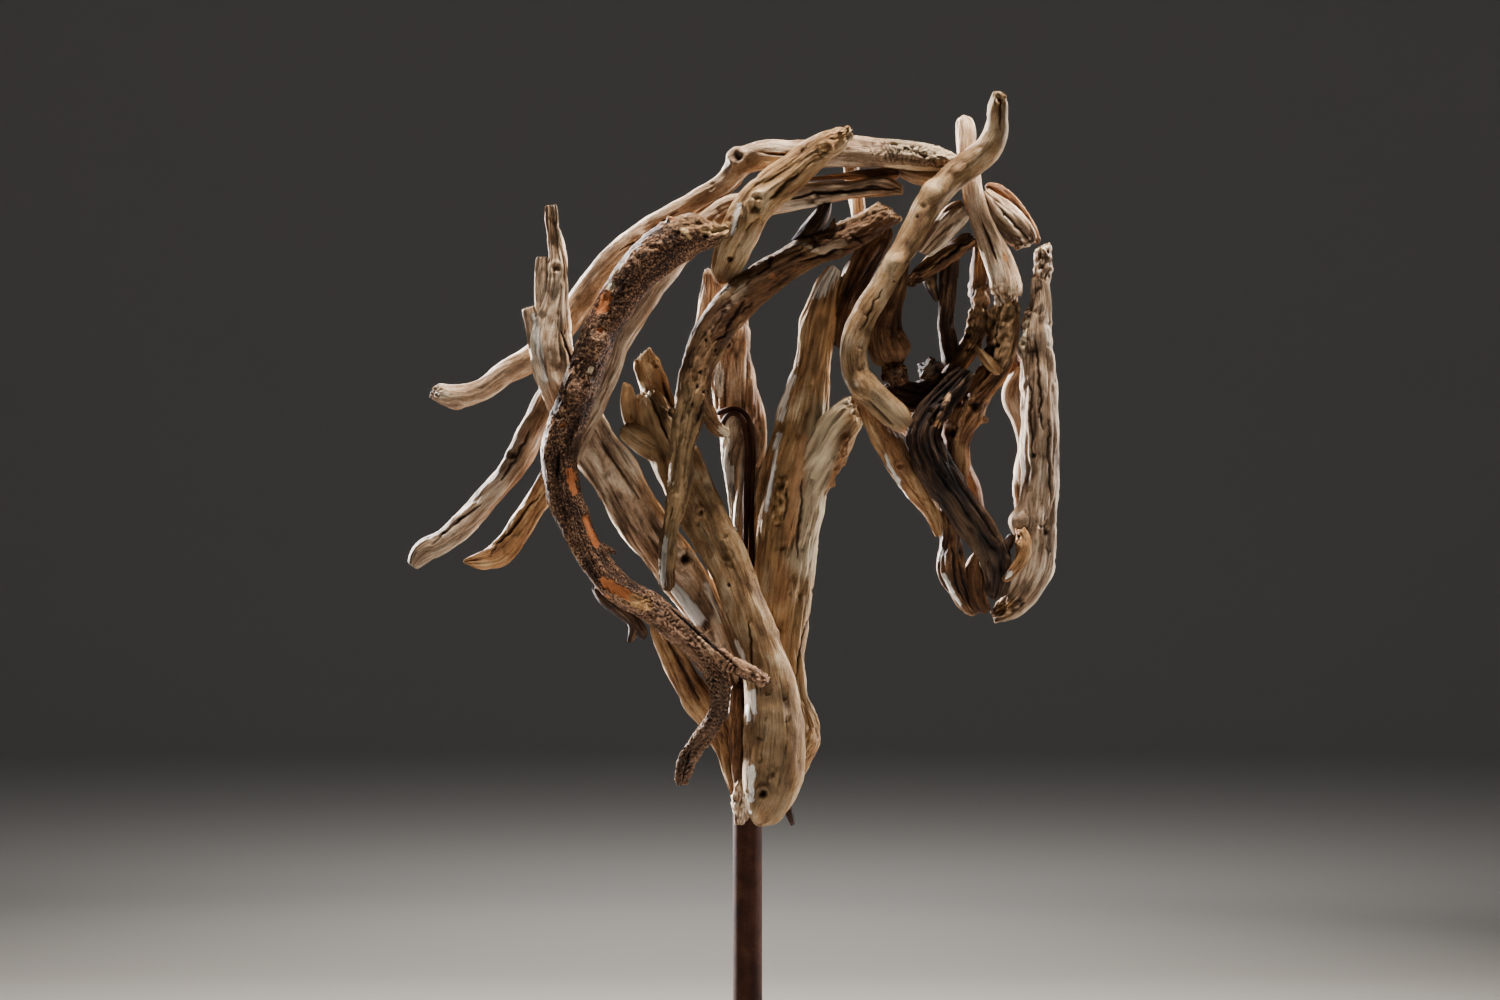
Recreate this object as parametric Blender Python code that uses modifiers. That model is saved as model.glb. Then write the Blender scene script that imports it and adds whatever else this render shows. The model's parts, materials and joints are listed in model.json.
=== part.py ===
"""Driftwood horse head on a steel stand: sticks and logs laid over each other round a post on a plate.

Metres, +Z up. The origin is under the plate, on the post's axis. The horse faces +X and its near side is -Y.

The sticks are read off one elevation drawing of the near side. A row of a stick is (across, down, near,
half): across and down place a point of its middle line on the drawing, near is how far that point stands in
front of the post's axis, and half is half the stick's width there. All four are in drawing units of UNIT
metres.
"""

import math

import bmesh
import bpy
from mathutils import Matrix, Vector
from mathutils.bvhtree import BVHTree

# The wood, and where the drawing has it
HEAD_HEIGHT = 1.072         # from the ear's tip down to the foot of the front log
EAR_TIP_DOWN = 89.0
LOG_FOOT_DOWN = 828.0
POST_ACROSS = 747.5         # the post's axis on the drawing
EYE_ACROSS = 750.0          # the point that the drawing is seen square on
EYE_DOWN = 500.0
VIEW_DISTANCE = 6.0         # the drawing is in perspective, from this far in front of the post
UNIT = HEAD_HEIGHT / (LOG_FOOT_DOWN - EAR_TIP_DOWN)     # one drawing unit at the post's axis

# The steel stand
PLATE_LENGTH = 0.440
PLATE_WIDTH = 0.360
PLATE_THICKNESS = 0.012
PLATE_CORNER = 0.012
POST_DIAMETER = 0.0424
POST_WALL = 0.0032
POST_CLEAR = 0.420          # from the plate up to the lowest wood
POST_IN_WOOD = 0.235        # how far the post runs up between the logs
WELD_LEG = 0.007            # the fillet weld round the post's foot
ROD_DIAMETER = 0.0076

# Joints and facets
GAP = 0.00035               # between pieces that lie on or in each other
LOG_SIDES = 8
STICK_SIDES = 8
TWIG_SIDES = 6
POST_SIDES = 24
ROD_SIDES = 6
LUMP = 0.05                 # how far a stick's section swells and sinks, as a share of its half width

# Colours, roughness and metallic values
PALE = ((0.52, 0.43, 0.31), 0.75, 0.0)
SILVER = ((0.42, 0.37, 0.31), 0.85, 0.0)
TAN = ((0.36, 0.25, 0.15), 0.80, 0.0)
BROWN = ((0.20, 0.12, 0.07), 0.85, 0.0)
DARK = ((0.09, 0.055, 0.035), 0.85, 0.0)
BARK = ((0.11, 0.065, 0.040), 0.95, 0.0)
RUST = ((0.075, 0.028, 0.015), 0.80, 0.6)


def clear_scene():
    for old in list(bpy.data.objects):
        bpy.data.objects.remove(old)


def new_collection(name):
    made = bpy.data.collections.new(name)
    bpy.context.scene.collection.children.link(made)
    return made


clear_scene()
SCULPTURE = new_collection("driftwood_horse_head")
CUTTERS = new_collection("cutters")
CUTTERS.hide_render = True
solid_cutters = []          # one list of grown copies for each finished piece, in the order of making


def material(name, finish):
    colour, roughness, metallic = finish
    made = bpy.data.materials.new(name)
    made.use_nodes = True
    shader = made.node_tree.nodes["Principled BSDF"]
    shader.inputs["Base Color"].default_value = (*colour, 1.0)
    shader.inputs["Roughness"].default_value = roughness
    shader.inputs["Metallic"].default_value = metallic
    return made


def place(across, down, near):
    """A point of the drawing in metres, moved along its line of sight to its own depth."""
    depth = -near * UNIT
    seen = 1.0 + depth / VIEW_DISTANCE
    eye_x = (EYE_ACROSS - POST_ACROSS) * UNIT
    eye_z = PLATE_THICKNESS + POST_CLEAR + (LOG_FOOT_DOWN - EYE_DOWN) * UNIT
    x = eye_x + (across - EYE_ACROSS) * UNIT * seen
    z = eye_z + (EYE_DOWN - down) * UNIT * seen
    return Vector((x, depth, z)), seen


def section_axes(tangent):
    """The section's axis in the drawing's plane and its axis in depth, both square to the stick."""
    away = Vector((0.0, 1.0, 0.0))
    side = tangent.cross(away)
    if side.length < 0.35:
        side = Vector((1.0, 0.0, 0.0)) - tangent * tangent.x
    side.normalize()
    return side, side.cross(tangent).normalized()


def lump(angle, turn, ring):
    """An uneven section, a little different in each stick and along it."""
    oval = math.sin(2 * angle + turn + 0.6 * ring)
    ridges = math.sin(3 * angle + 2 * turn - 0.4 * ring)
    return 1.0 + LUMP * (oval + ridges) / 2


def loft(name, rows, sides, flat, grow=0.0, even=False):
    """A closed solid along a stick's rows. flat is depth as a share of width; grow fattens it all over."""
    turn = rows[0][0]
    middle = [place(*row[:3]) for row in rows]
    last = len(rows) - 1
    bm = bmesh.new()
    rings = []
    for i, (point, seen) in enumerate(middle):
        tangent = (middle[min(i + 1, last)][0] - middle[max(i - 1, 0)][0]).normalized()
        side, deep = section_axes(tangent)
        half = rows[i][3] * UNIT * seen
        if i in (0, last):
            point = point + tangent * (grow if i == last else -grow)
        ring = []
        for k in range(sides):
            angle = 2 * math.pi * k / sides
            swell = 1.0 if even else lump(angle, turn, i)
            out = side * math.cos(angle) * (half * swell + grow)
            back = deep * math.sin(angle) * (half * flat * swell + grow)
            ring.append(bm.verts.new(point + out + back))
        rings.append(ring)
    for low, high in zip(rings, rings[1:]):
        for k in range(sides):
            n = (k + 1) % sides
            bm.faces.new((low[k], low[n], high[n], high[k]))
    bm.faces.new(rings[0])
    bm.faces.new(rings[-1])
    bmesh.ops.triangulate(bm, faces=bm.faces[:])
    bmesh.ops.recalc_face_normals(bm, faces=bm.faces[:])
    mesh = bpy.data.meshes.new(name)
    bm.to_mesh(mesh)
    bm.free()
    return bpy.data.objects.new(name, mesh)


def cutter(obj):
    CUTTERS.objects.link(obj)
    obj.hide_render = True
    obj.display_type = "WIRE"
    return obj


def boolean(obj, operation, other):
    step = obj.modifiers.new(operation.title(), "BOOLEAN")
    step.operation = operation
    step.solver = "EXACT"
    step.object = other


def apply_modifiers(obj):
    bpy.context.view_layer.update()
    evaluated = obj.evaluated_get(bpy.context.evaluated_depsgraph_get())
    mesh = bpy.data.meshes.new_from_object(evaluated)
    obj.modifiers.clear()
    obj.data = mesh


def tree_of(obj):
    bm = bmesh.new()
    bm.from_mesh(obj.data)
    tree = BVHTree.FromBMesh(bm)
    bm.free()
    return tree


def islands(bm):
    left = set(bm.verts)
    while left:
        found, open_verts = set(), [left.pop()]
        while open_verts:
            vert = open_verts.pop()
            found.add(vert)
            for edge in vert.link_edges:
                other = edge.other_vert(vert)
                if other in left:
                    left.discard(other)
                    open_verts.append(other)
        yield found


def keep_main_body(obj):
    """Drops the chips that a notch leaves on its far side."""
    bm = bmesh.new()
    bm.from_mesh(obj.data)
    bodies = sorted(islands(bm), key=len)
    for chip in bodies[:-1]:
        bmesh.ops.delete(bm, geom=list(chip), context="VERTS")
    bm.to_mesh(obj.data)
    bm.free()


def notch(obj):
    """Cuts obj back from every finished piece that it lies in, so that it seats on them with GAP between."""
    own = tree_of(obj)
    for grown_copies in solid_cutters:
        for grown in grown_copies:
            if own.overlap(tree_of(grown)):
                boolean(obj, "DIFFERENCE", grown)
    if obj.modifiers:
        apply_modifiers(obj)
        keep_main_body(obj)


def finish_piece(obj, finish, grown_copies):
    obj.data.materials.clear()
    obj.data.materials.append(material(obj.name, finish))
    solid_cutters.append([cutter(grown) for grown in grown_copies])


def stick(name, finish, rows, *limbs, sides=STICK_SIDES, flat=0.9):
    """One piece of wood: its main stem, and limbs that are grown together with it."""
    obj = loft(name, rows, sides, flat)
    SCULPTURE.objects.link(obj)
    for n, limb in enumerate(limbs):
        boolean(obj, "UNION", cutter(loft(f"{name}_limb_{n}", limb, sides, flat)))
    if limbs:
        apply_modifiers(obj)
    notch(obj)
    grown = [loft(f"{name}_seat_{n}", stem, sides, flat, grow=GAP) for n, stem in enumerate((rows, *limbs))]
    finish_piece(obj, finish, grown)
    return obj


def turned(name, profile, steps):
    """A ring turned about the post's axis from a closed profile of (radius, height) points."""
    mesh = bpy.data.meshes.new(name)
    points = [(radius, 0.0, height) for radius, height in profile]
    mesh.from_pydata(points, [(i, (i + 1) % len(points)) for i in range(len(points))], [])
    obj = bpy.data.objects.new(name, mesh)
    SCULPTURE.objects.link(obj)
    screw = obj.modifiers.new("Turn", "SCREW")
    screw.steps = screw.render_steps = steps
    screw.use_merge_vertices = True
    screw.merge_threshold = 0.00001
    screw.use_smooth_shade = False
    apply_modifiers(obj)
    bm = bmesh.new()
    bm.from_mesh(obj.data)
    bmesh.ops.remove_doubles(bm, verts=bm.verts[:], dist=0.00001)
    bmesh.ops.recalc_face_normals(bm, faces=bm.faces[:])
    bm.to_mesh(obj.data)
    bm.free()
    return obj


# Steel plate, flat on the floor, its edges and corners eased.
def plate():
    bm = bmesh.new()
    bmesh.ops.create_cube(bm, size=1.0)
    bmesh.ops.scale(bm, verts=bm.verts[:], vec=(PLATE_LENGTH, PLATE_WIDTH, PLATE_THICKNESS))
    bmesh.ops.translate(bm, verts=bm.verts[:], vec=(0.0, 0.0, PLATE_THICKNESS / 2))
    upright = [e for e in bm.edges if abs(e.verts[0].co.z - e.verts[1].co.z) > PLATE_THICKNESS / 2]
    bmesh.ops.bevel(bm, geom=upright, offset=PLATE_CORNER, segments=4, profile=0.5, affect="EDGES")
    mesh = bpy.data.meshes.new("stand_plate")
    bm.to_mesh(mesh)
    bm.free()
    obj = bpy.data.objects.new("stand_plate", mesh)
    SCULPTURE.objects.link(obj)
    finish_piece(obj, RUST, [])


plate()

# Steel post, a round tube welded to the plate, open at its hidden upper end.
post_foot = PLATE_THICKNESS + GAP
post_top = PLATE_THICKNESS + POST_CLEAR + POST_IN_WOOD
post_radius = POST_DIAMETER / 2
post = turned("stand_post", [
    (post_radius, post_top), (post_radius, post_foot + WELD_LEG), (post_radius + WELD_LEG, post_foot),
    (post_radius - POST_WALL, post_foot), (post_radius - POST_WALL, post_top),
], POST_SIDES)


def post_seat():
    """The post grown by GAP, solid, for the wood to be notched round."""
    bm = bmesh.new()
    bottom, top = PLATE_THICKNESS + POST_CLEAR / 2, post_top + GAP
    radius = (post_radius + GAP) / math.cos(math.pi / POST_SIDES)
    lift = Matrix.Translation((0.0, 0.0, (top + bottom) / 2))
    bmesh.ops.create_cone(bm, cap_ends=True, segments=POST_SIDES, radius1=radius, radius2=radius,
                          depth=top - bottom, matrix=lift)
    mesh = bpy.data.meshes.new("stand_post_seat")
    bm.to_mesh(mesh)
    bm.free()
    return bpy.data.objects.new("stand_post_seat", mesh)


finish_piece(post, RUST, [post_seat()])


# Two bent steel rods, welded down the back of the post and hooked over the centre post.
rod_half = ROD_DIAMETER / 2 / UNIT
rod_reach = (post_radius + ROD_DIAMETER / 2) / UNIT


def on_post(down, angle_deg):
    """A rod's row where it lies against the post, at an angle round it from the viewer's right."""
    angle = math.radians(angle_deg)
    return (POST_ACROSS + rod_reach * math.cos(angle), down, rod_reach * math.sin(angle), rod_half)


def rod(name, rows):
    obj = loft(name, rows, ROD_SIDES, 1.0, even=True)
    SCULPTURE.objects.link(obj)
    notch(obj)
    finish_piece(obj, RUST, [loft(name + "_seat", rows, ROD_SIDES, 1.0, grow=GAP, even=True)])


rod("hook_rod_near", [
    (722, 426, -22, rod_half), (725, 419, -17, rod_half), (730, 414, -14, rod_half),
    (737, 414, -13, rod_half), (742, 419, -12, rod_half), (745, 430, -12, rod_half),
    (745.5, 500, -14, rod_half), (745, 600, -16, rod_half), on_post(690, -100), on_post(755, -100),
])
rod("hook_rod_far", [
    (718, 413, -25, rod_half), (724, 411, -20, rod_half), (732, 409, -18, rod_half),
    (742, 411, -17, rod_half), (748, 418, -16, rod_half), (751, 430, -16, rod_half),
    (751.5, 500, -17, rod_half), (752, 600, -17, rod_half), on_post(690, -66), on_post(755, -66),
])

# The neck's upright logs, round the post
stick("front_log", PALE,
      [(757, 826, 30, 12), (766, 805, 32, 23), (772, 773, 33, 31), (774, 735, 33, 32), (770, 692, 33, 27),
       (760, 650, 33, 22.5), (748, 615, 32, 21.5), (733, 575, 27, 21), (714, 535, 21, 22),
       (695, 498, 14, 24), (676, 458, 8, 24), (662, 430, 6, 20), (653, 408, 5, 17), (645, 389, 4, 10)],
      [(680, 455, 4, 14), (664, 410, -6, 14), (652, 378, -12, 14), (641, 351, -16, 11)],
      [(660, 450, 8, 14), (639, 437, 10, 13), (621, 427, 12, 8.5)],
      [(646, 444, 2, 8), (633, 422, 0, 9), (628, 402, -1, 8.5), (627, 382, -2, 4)],
      sides=LOG_SIDES, flat=0.75)
stick("throat_log", TAN,
      [(779, 792, -8, 8), (786, 766, -9, 19), (792, 738, -10, 26), (786, 700, -11, 21), (780, 650, -12, 24),
       (782, 600, -12, 28), (785, 555, -12, 30), (790, 510, -12, 33), (796, 465, -11, 33),
       (803, 425, -9, 27), (809, 385, -7, 19.5), (815, 350, -6, 16.5), (820, 318, -6, 17),
       (826, 292, -5, 12.5), (836, 266, -4, 5)],
      [(806, 490, -6, 20), (823, 458, 2, 21), (836, 432, 9, 20), (849, 415, 15, 17), (861, 405, 20, 13)],
      sides=LOG_SIDES, flat=0.7)
stick("centre_post", SILVER,
      [(709, 268, -34, 6), (715, 285, -36, 15), (722, 315, -38, 23), (727, 350, -39, 24),
       (733, 382, -39, 22), (739, 412, -38, 23), (743, 440, -37, 23), (742, 462, -36, 22),
       (744, 492, -34, 16), (745, 522, -33, 13), (747, 552, -31, 11), (750, 600, -29, 10),
       (752, 660, -27, 9), (752, 720, -26, 8)],
      sides=LOG_SIDES, flat=0.7)

# The grey split plank, three tongues at its top, running down behind the bark branch to the post
stick("grey_plank", SILVER,
      [(550, 205, 3, 5.5), (554, 235, 3, 7), (558, 262, 3, 8.5), (557, 290, 4, 11), (553, 318, 5, 16),
       (552, 345, 6, 20), (560, 378, 6, 21), (574, 408, 6, 22), (591, 441, 6, 23), (616, 478, 5, 23),
       (644, 524, 5, 23), (673, 562, 4, 22.5), (693, 592, 3, 21), (714, 628, 4, 17), (733, 672, 6, 12),
       (744, 712, 8, 7)],
      [(543, 257, 4, 5.5), (542, 278, 4, 7), (545, 305, 4, 10), (550, 335, 5, 12)],
      [(530, 307, 7, 7.5), (536, 330, 7, 10), (545, 362, 7, 12), (556, 392, 7, 13)],
      sides=LOG_SIDES, flat=0.38)

# The bark branch, a long bow down the near side that divides into a toe and a hoof
stick("bark_branch", BARK,
      [(730, 228, 40, 2), (714, 234, 41, 11), (692, 234, 42, 21), (664, 247, 43, 23), (636, 274, 44, 21.5),
       (614, 308, 45, 19), (598, 338, 46, 18), (586, 370, 47, 18.5), (576, 402, 48, 18.5),
       (565, 432, 49, 18.5), (560, 460, 50, 17.5), (564, 492, 51, 17), (576, 525, 52, 16),
       (592, 556, 53, 14.5), (609, 579, 54, 15), (630, 596, 54, 15.5), (652, 609, 54, 14),
       (673, 627, 55, 13), (694, 646, 56, 12), (710, 663, 56, 11.5), (719, 684, 53, 10.5),
       (719, 706, 50, 9.5), (710, 728, 47, 8.5), (697, 745, 44, 8), (687, 760, 42, 8.5), (683, 774, 41, 7),
       (681, 786, 41, 3)],
      [(650, 600, 56, 6), (678, 619, 58, 6.5), (705, 643, 60, 6.5), (730, 663, 62, 7.5),
       (750, 673, 64, 8.5), (770, 684, 66, 5)],
      [(600, 546, 53, 4), (610, 550, 53, 2.5), (617, 553, 53, 1.5)],
      flat=0.85)

# The mottled branch from the poll down the near side, and the knotty branch above it
stick("mottled_branch", BROWN,
      [(895, 208, 8, 13), (868, 226, 11, 15), (840, 240, 14, 16), (810, 252, 17, 16), (780, 270, 20, 16.5),
       (752, 290, 24, 18), (728, 312, 28, 19), (709, 341, 32, 18), (697, 370, 35, 15.5), (692, 400, 38, 16),
       (687, 425, 39, 14.5), (683, 450, 40, 12.5), (681, 475, 40, 12.5), (677, 500, 40, 11),
       (671, 525, 39, 8.5), (667, 550, 38, 8), (667, 575, 38, 8), (669, 592, 38, 7)],
      [(700, 396, 37, 10), (709, 416, 36, 8), (719, 430, 35, 7), (730, 434, 34, 3.5)])
stick("knotty_branch", PALE,
      [(851, 130, 22, 6), (840, 138, 24, 10), (825, 146, 25, 13.5), (811, 156, 26, 16), (790, 175, 27, 18),
       (772, 189, 28, 18.5), (757, 203, 28, 18), (746, 220, 28, 18.5), (737, 240, 27, 17.5),
       (729, 260, 24, 15.5), (719, 284, 19, 11)],
      flat=0.8)

# The crest: two long branches that arch from the poll over the neck
stick("crest_branch", PALE,
      [(431, 391, 0, 8), (455, 397, -3, 12), (480, 390, -6, 11), (505, 373, -9, 12), (533, 358, -12, 12.5),
       (555, 336, -14, 13), (577, 307, -13, 13.5), (609, 261, -9, 12), (655, 225, -6, 10.5),
       (695, 201, -4, 9.5), (727, 179, -3, 10.5), (745, 160, -2, 13.5), (767, 154, -1, 14),
       (800, 155, 0, 14), (850, 152, 0, 16), (885, 153, 0, 15), (920, 157, 0, 14), (945, 163, 2, 10.5),
       (966, 170, 4, 8)])
stick("under_crest_branch", TAN,
      [(904, 192, 4, 3), (892, 188, 4, 8), (850, 190, 5, 9), (800, 197, 7, 12.5), (765, 203, 8, 12.5),
       (727, 208, 10, 11.5), (702, 228, 12, 12), (680, 253, 14, 12), (656, 283, 16, 12), (638, 311, 18, 12),
       (619, 342, 20, 11.5), (609, 372, 22, 11), (597, 401, 24, 10.5), (582, 430, 25, 10.5),
       (570, 457, 26, 9.5), (566, 474, 27, 6)],
      flat=0.8)

# Loose strands of mane behind the neck
stick("upper_mane_strand", SILVER,
      [(412, 566, 4, 5), (421, 554, 3, 11), (447, 538, 0, 11.5), (470, 518, -3, 12), (492, 494, -6, 12),
       (511, 470, -8, 12.5), (524, 446, -9, 13), (537, 420, -10, 12.5), (547, 400, -10, 12),
       (562, 372, -9, 10)])
stick("lower_mane_strand", TAN,
      [(463, 562, 4, 2), (480, 561, 4, 8.5), (498, 555, 3, 12), (516, 535, 2, 12), (530, 512, 2, 12),
       (544, 489, 2, 12), (557, 467, 3, 11), (572, 444, 4, 9)], sides=TWIG_SIDES, flat=0.7)

# Ear and cheek: the near branch sweeps from the ear's tip round the cheek; the far ear runs down to the brow
stick("ear_cheek_branch", PALE,
      [(997, 91, 32, 5), (998, 102, 31, 9.5), (997, 118, 30, 11), (995, 133, 29, 12.5), (988, 148, 28, 14),
       (975, 160, 27, 14.5), (958, 173, 28, 14.5), (943, 187, 31, 14), (929, 206, 36, 14),
       (917, 227, 41, 13), (905, 248, 46, 12.5), (893, 269, 50, 12.5), (880, 291, 53, 13),
       (866, 313, 56, 13.5), (856, 336, 58, 13.5), (853, 358, 59, 13.5), (857, 376, 59, 14),
       (868, 391, 58, 14), (885, 406, 56, 14), (899, 419, 54, 13), (907, 427, 52, 9)])
stick("far_ear_branch", SILVER,
      [(964, 115, -8, 6), (966, 130, -5, 9.5), (967, 150, -1, 10), (970, 175, 3, 10.5), (974, 200, 7, 10.5),
       (982, 222, 11, 11.5), (993, 247, 15, 13.5), (1003, 272, 18, 15), (1007, 292, 20, 15.5),
       (1008, 306, 20, 12)],
      flat=0.8)
stick("throat_branch", DARK,
      [(838, 348, -6, 6), (845, 312, -8, 11), (858, 277, -10, 14), (873, 248, -11, 14),
       (887, 222, -10, 10)], sides=TWIG_SIDES, flat=0.7)

# Poll and forehead
stick("poll_dark_stick", DARK,
      [(806, 179, -5, 1.8), (840, 177, -6, 3), (865, 175, -7, 5.5), (890, 174, -8, 6.5), (901, 173, -8, 5)],
      sides=TWIG_SIDES)
stick("poll_wedge", TAN,
      [(898, 172, -3, 3.5), (917, 177, -2, 6.5), (937, 180, 2, 8), (957, 183, 8, 6)], sides=TWIG_SIDES)
stick("far_poll_stick", SILVER,
      [(848, 158, -16, 7), (854, 182, -22, 7.5), (859, 210, -25, 7.5), (863, 240, -22, 7),
       (864, 262, -16, 5)],
      sides=TWIG_SIDES)
stick("crest_twig", DARK,
      [(827, 199, 6, 5), (824, 210, 8, 7), (817, 222, 11, 9), (804, 236, 15, 8), (793, 242, 17, 3)],
      sides=TWIG_SIDES)
stick("forehead_slab", SILVER,
      [(983, 192, 2, 6), (995, 208, 3, 13), (1008, 222, 4, 16), (1022, 236, 4, 15), (1032, 246, 4, 9)],
      sides=TWIG_SIDES)
stick("back_forehead_stick", BROWN,
      [(985, 186, -8, 3.5), (993, 189, -11, 5.5), (1005, 197, -14, 6.5), (1017, 208, -15, 6),
       (1027, 222, -15, 5), (1038, 244, -12, 4)], sides=TWIG_SIDES)
stick("brow_stub", BROWN,
      [(1042, 243, -6, 8.5), (1043, 260, -5, 9.5), (1042, 278, -3, 9),
       (1039, 292, -1, 7)], sides=TWIG_SIDES)

# Nose and muzzle
stick("nose_log", TAN,
      [(1038, 278, 4, 7), (1039, 300, 5, 9.5), (1036, 325, 6, 14), (1037, 360, 7, 16.5), (1038, 400, 8, 18),
       (1039, 437, 8, 19.5), (1040, 475, 8, 19.5), (1038, 503, 8, 20.5), (1035, 522, 8, 23),
       (1036, 548, 8, 20), (1033, 572, 7, 17.5), (1023, 593, 6, 15), (1008, 609, 4, 10.5),
       (992, 618, 2, 5)],
      sides=LOG_SIDES, flat=0.85)
stick("nostril_stick", TAN,
      [(1019, 527, 24, 5), (1025, 543, 27, 7), (1021, 560, 27, 6.5), (1012, 573, 26, 5.5),
       (1003, 581, 24, 3.5)],
      sides=TWIG_SIDES)
stick("temple_root", BROWN,
      [(1008, 300, 10, 12), (1005, 318, 10, 15), (1003, 340, 11, 15.5), (997, 364, 12, 15),
       (982, 388, 14, 14), (967, 412, 15, 14), (957, 440, 15, 13), (957, 468, 14, 11), (962, 490, 12, 6)],
      [(972, 412, 14, 6), (981, 418, 14, 4.5), (989, 420, 14, 1.5)])
stick("upper_brow_stick", SILVER,
      [(966, 205, 18, 8), (957, 215, 20, 12), (944, 230, 23, 11.5), (932, 244, 26, 9), (922, 255, 29, 5)],
      sides=TWIG_SIDES)
stick("lower_brow_stick", BROWN,
      [(976, 235, 10, 8), (958, 247, 12, 10), (941, 260, 17, 10), (924, 272, 24, 8.5), (907, 284, 32, 6)],
      sides=TWIG_SIDES)
stick("eye_front_stick", DARK,
      [(951, 247, 4, 9), (950, 275, 3, 9), (948, 300, 2, 8.5), (946, 325, 2, 8.5), (949, 346, 5, 9),
       (953, 368, 10, 9)],
      [(940, 255, 5, 8), (929, 268, 6, 9.5), (931, 286, 6, 6.5), (937, 302, 6, 2)],
      sides=TWIG_SIDES)
stick("eye_back_stick", DARK,
      [(982, 240, 0, 7), (980, 268, -1, 9), (979, 300, 0, 9.5), (977, 326, 2, 10), (969, 346, 5, 10),
       (958, 364, 10, 9), (947, 380, 16, 8)], sides=TWIG_SIDES)

# Jaw, chin and mouth
stick("jaw_branch", DARK,
      [(969, 370, 26, 6), (955, 385, 30, 11), (941, 401, 34, 13), (929, 419, 37, 15), (924, 438, 38, 17),
       (932, 460, 36, 18.5), (947, 485, 32, 18.5), (965, 512, 27, 17.5), (983, 537, 22, 16),
       (995, 558, 16, 14.5), (997, 578, 11, 12), (994, 600, 7, 9)],
      [(998, 553, 16, 7), (1007, 544, 16, 6), (1013, 534, 16, 3)],
      flat=0.8)
stick("under_jaw_stick", TAN,
      [(861, 397, 34, 9), (875, 417, 35, 12), (889, 443, 31, 14), (902, 467, 26, 13), (917, 490, 21, 11.5),
       (931, 512, 16, 8.5), (941, 535, 11, 5)], sides=TWIG_SIDES, flat=0.8)
stick("chin_branch", BROWN,
      [(944, 506, 12, 4), (948, 522, 12, 8), (951, 538, 11, 10.5), (950, 555, 9, 12.5), (952, 573, 6, 14),
       (960, 590, 3, 12), (969, 605, 1, 8.5), (977, 615, 0, 4)])
stick("mouth_wedge", BROWN,
      [(978, 551, 6, 3), (975, 566, 4, 8.5), (974, 582, 3, 9.5), (979, 600, 2, 9), (986, 613, 1, 6)],
      sides=TWIG_SIDES)
stick("cheek_plank", BROWN,
      [(905, 252, 34, 6), (897, 280, 36, 10), (889, 310, 39, 13), (886, 336, 40, 19), (893, 354, 38, 20),
       (899, 367, 36, 16)], sides=TWIG_SIDES, flat=0.4)
stick("cheek_stub", BROWN,
      [(898, 378, 18, 11), (896, 375, 32, 13), (894, 372, 50, 13)], flat=1.0)
stick("inner_cheek_plank", DARK,
      [(884, 386, 22, 6), (900, 394, 22, 13), (918, 397, 22, 15), (936, 388, 23, 13),
       (950, 376, 20, 7)], sides=TWIG_SIDES, flat=0.5)
stick("eye_stub", BROWN,
      [(932, 374, 12, 10), (930, 371, 25, 12), (928, 368, 38, 11)], flat=1.0)
stick("eye_splinter", TAN,
      [(975, 347, 20, 2.5), (984, 357, 24, 5), (992, 366, 25, 5.5), (1001, 374, 24, 4)], sides=TWIG_SIDES)

# Round the post's head
stick("lower_plank", BROWN,
      [(653, 618, 36, 5), (661, 634, 31, 9), (674, 658, 24, 12.5), (686, 680, 18, 14), (698, 700, 13, 14.5),
       (711, 718, 10, 13.5), (723, 742, 8, 12), (731, 770, 6, 9),
       (735, 795, 5, 5)], sides=TWIG_SIDES, flat=0.5)
stick("post_side_stick", BROWN,
      [(737, 684, 16, 6), (737, 715, 16, 8), (738, 745, 17, 8.5), (739, 775, 18, 7), (741, 800, 18, 5)],
      sides=TWIG_SIDES)
stick("heel_splint", SILVER,
      [(751, 757, 20, 4.5), (747, 775, 22, 8), (743, 795, 22, 9.5), (741, 812, 20, 8), (740, 825, 18, 4)],
      sides=TWIG_SIDES, flat=0.6)
stick("heel_peg", DARK,
      [(784, 794, 22, 3.5), (788, 808, 22, 4), (791, 818, 22, 4), (793, 826, 22, 2)], sides=TWIG_SIDES)
stick("broken_peg", SILVER,
      [(670, 582, 24, 5), (682, 597, 22, 6.5), (695, 614, 20, 7), (708, 632, 19, 6)], sides=TWIG_SIDES)
stick("under_twig", DARK,
      [(594, 586, 44, 4), (604, 599, 43, 6.5), (619, 609, 43, 7), (632, 619, 44, 6.5), (641, 631, 44, 6),
       (646, 638, 44, 3)],
      [(634, 622, 44, 5), (633, 633, 44, 4.5), (629, 643, 44, 2)], sides=TWIG_SIDES)

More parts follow.
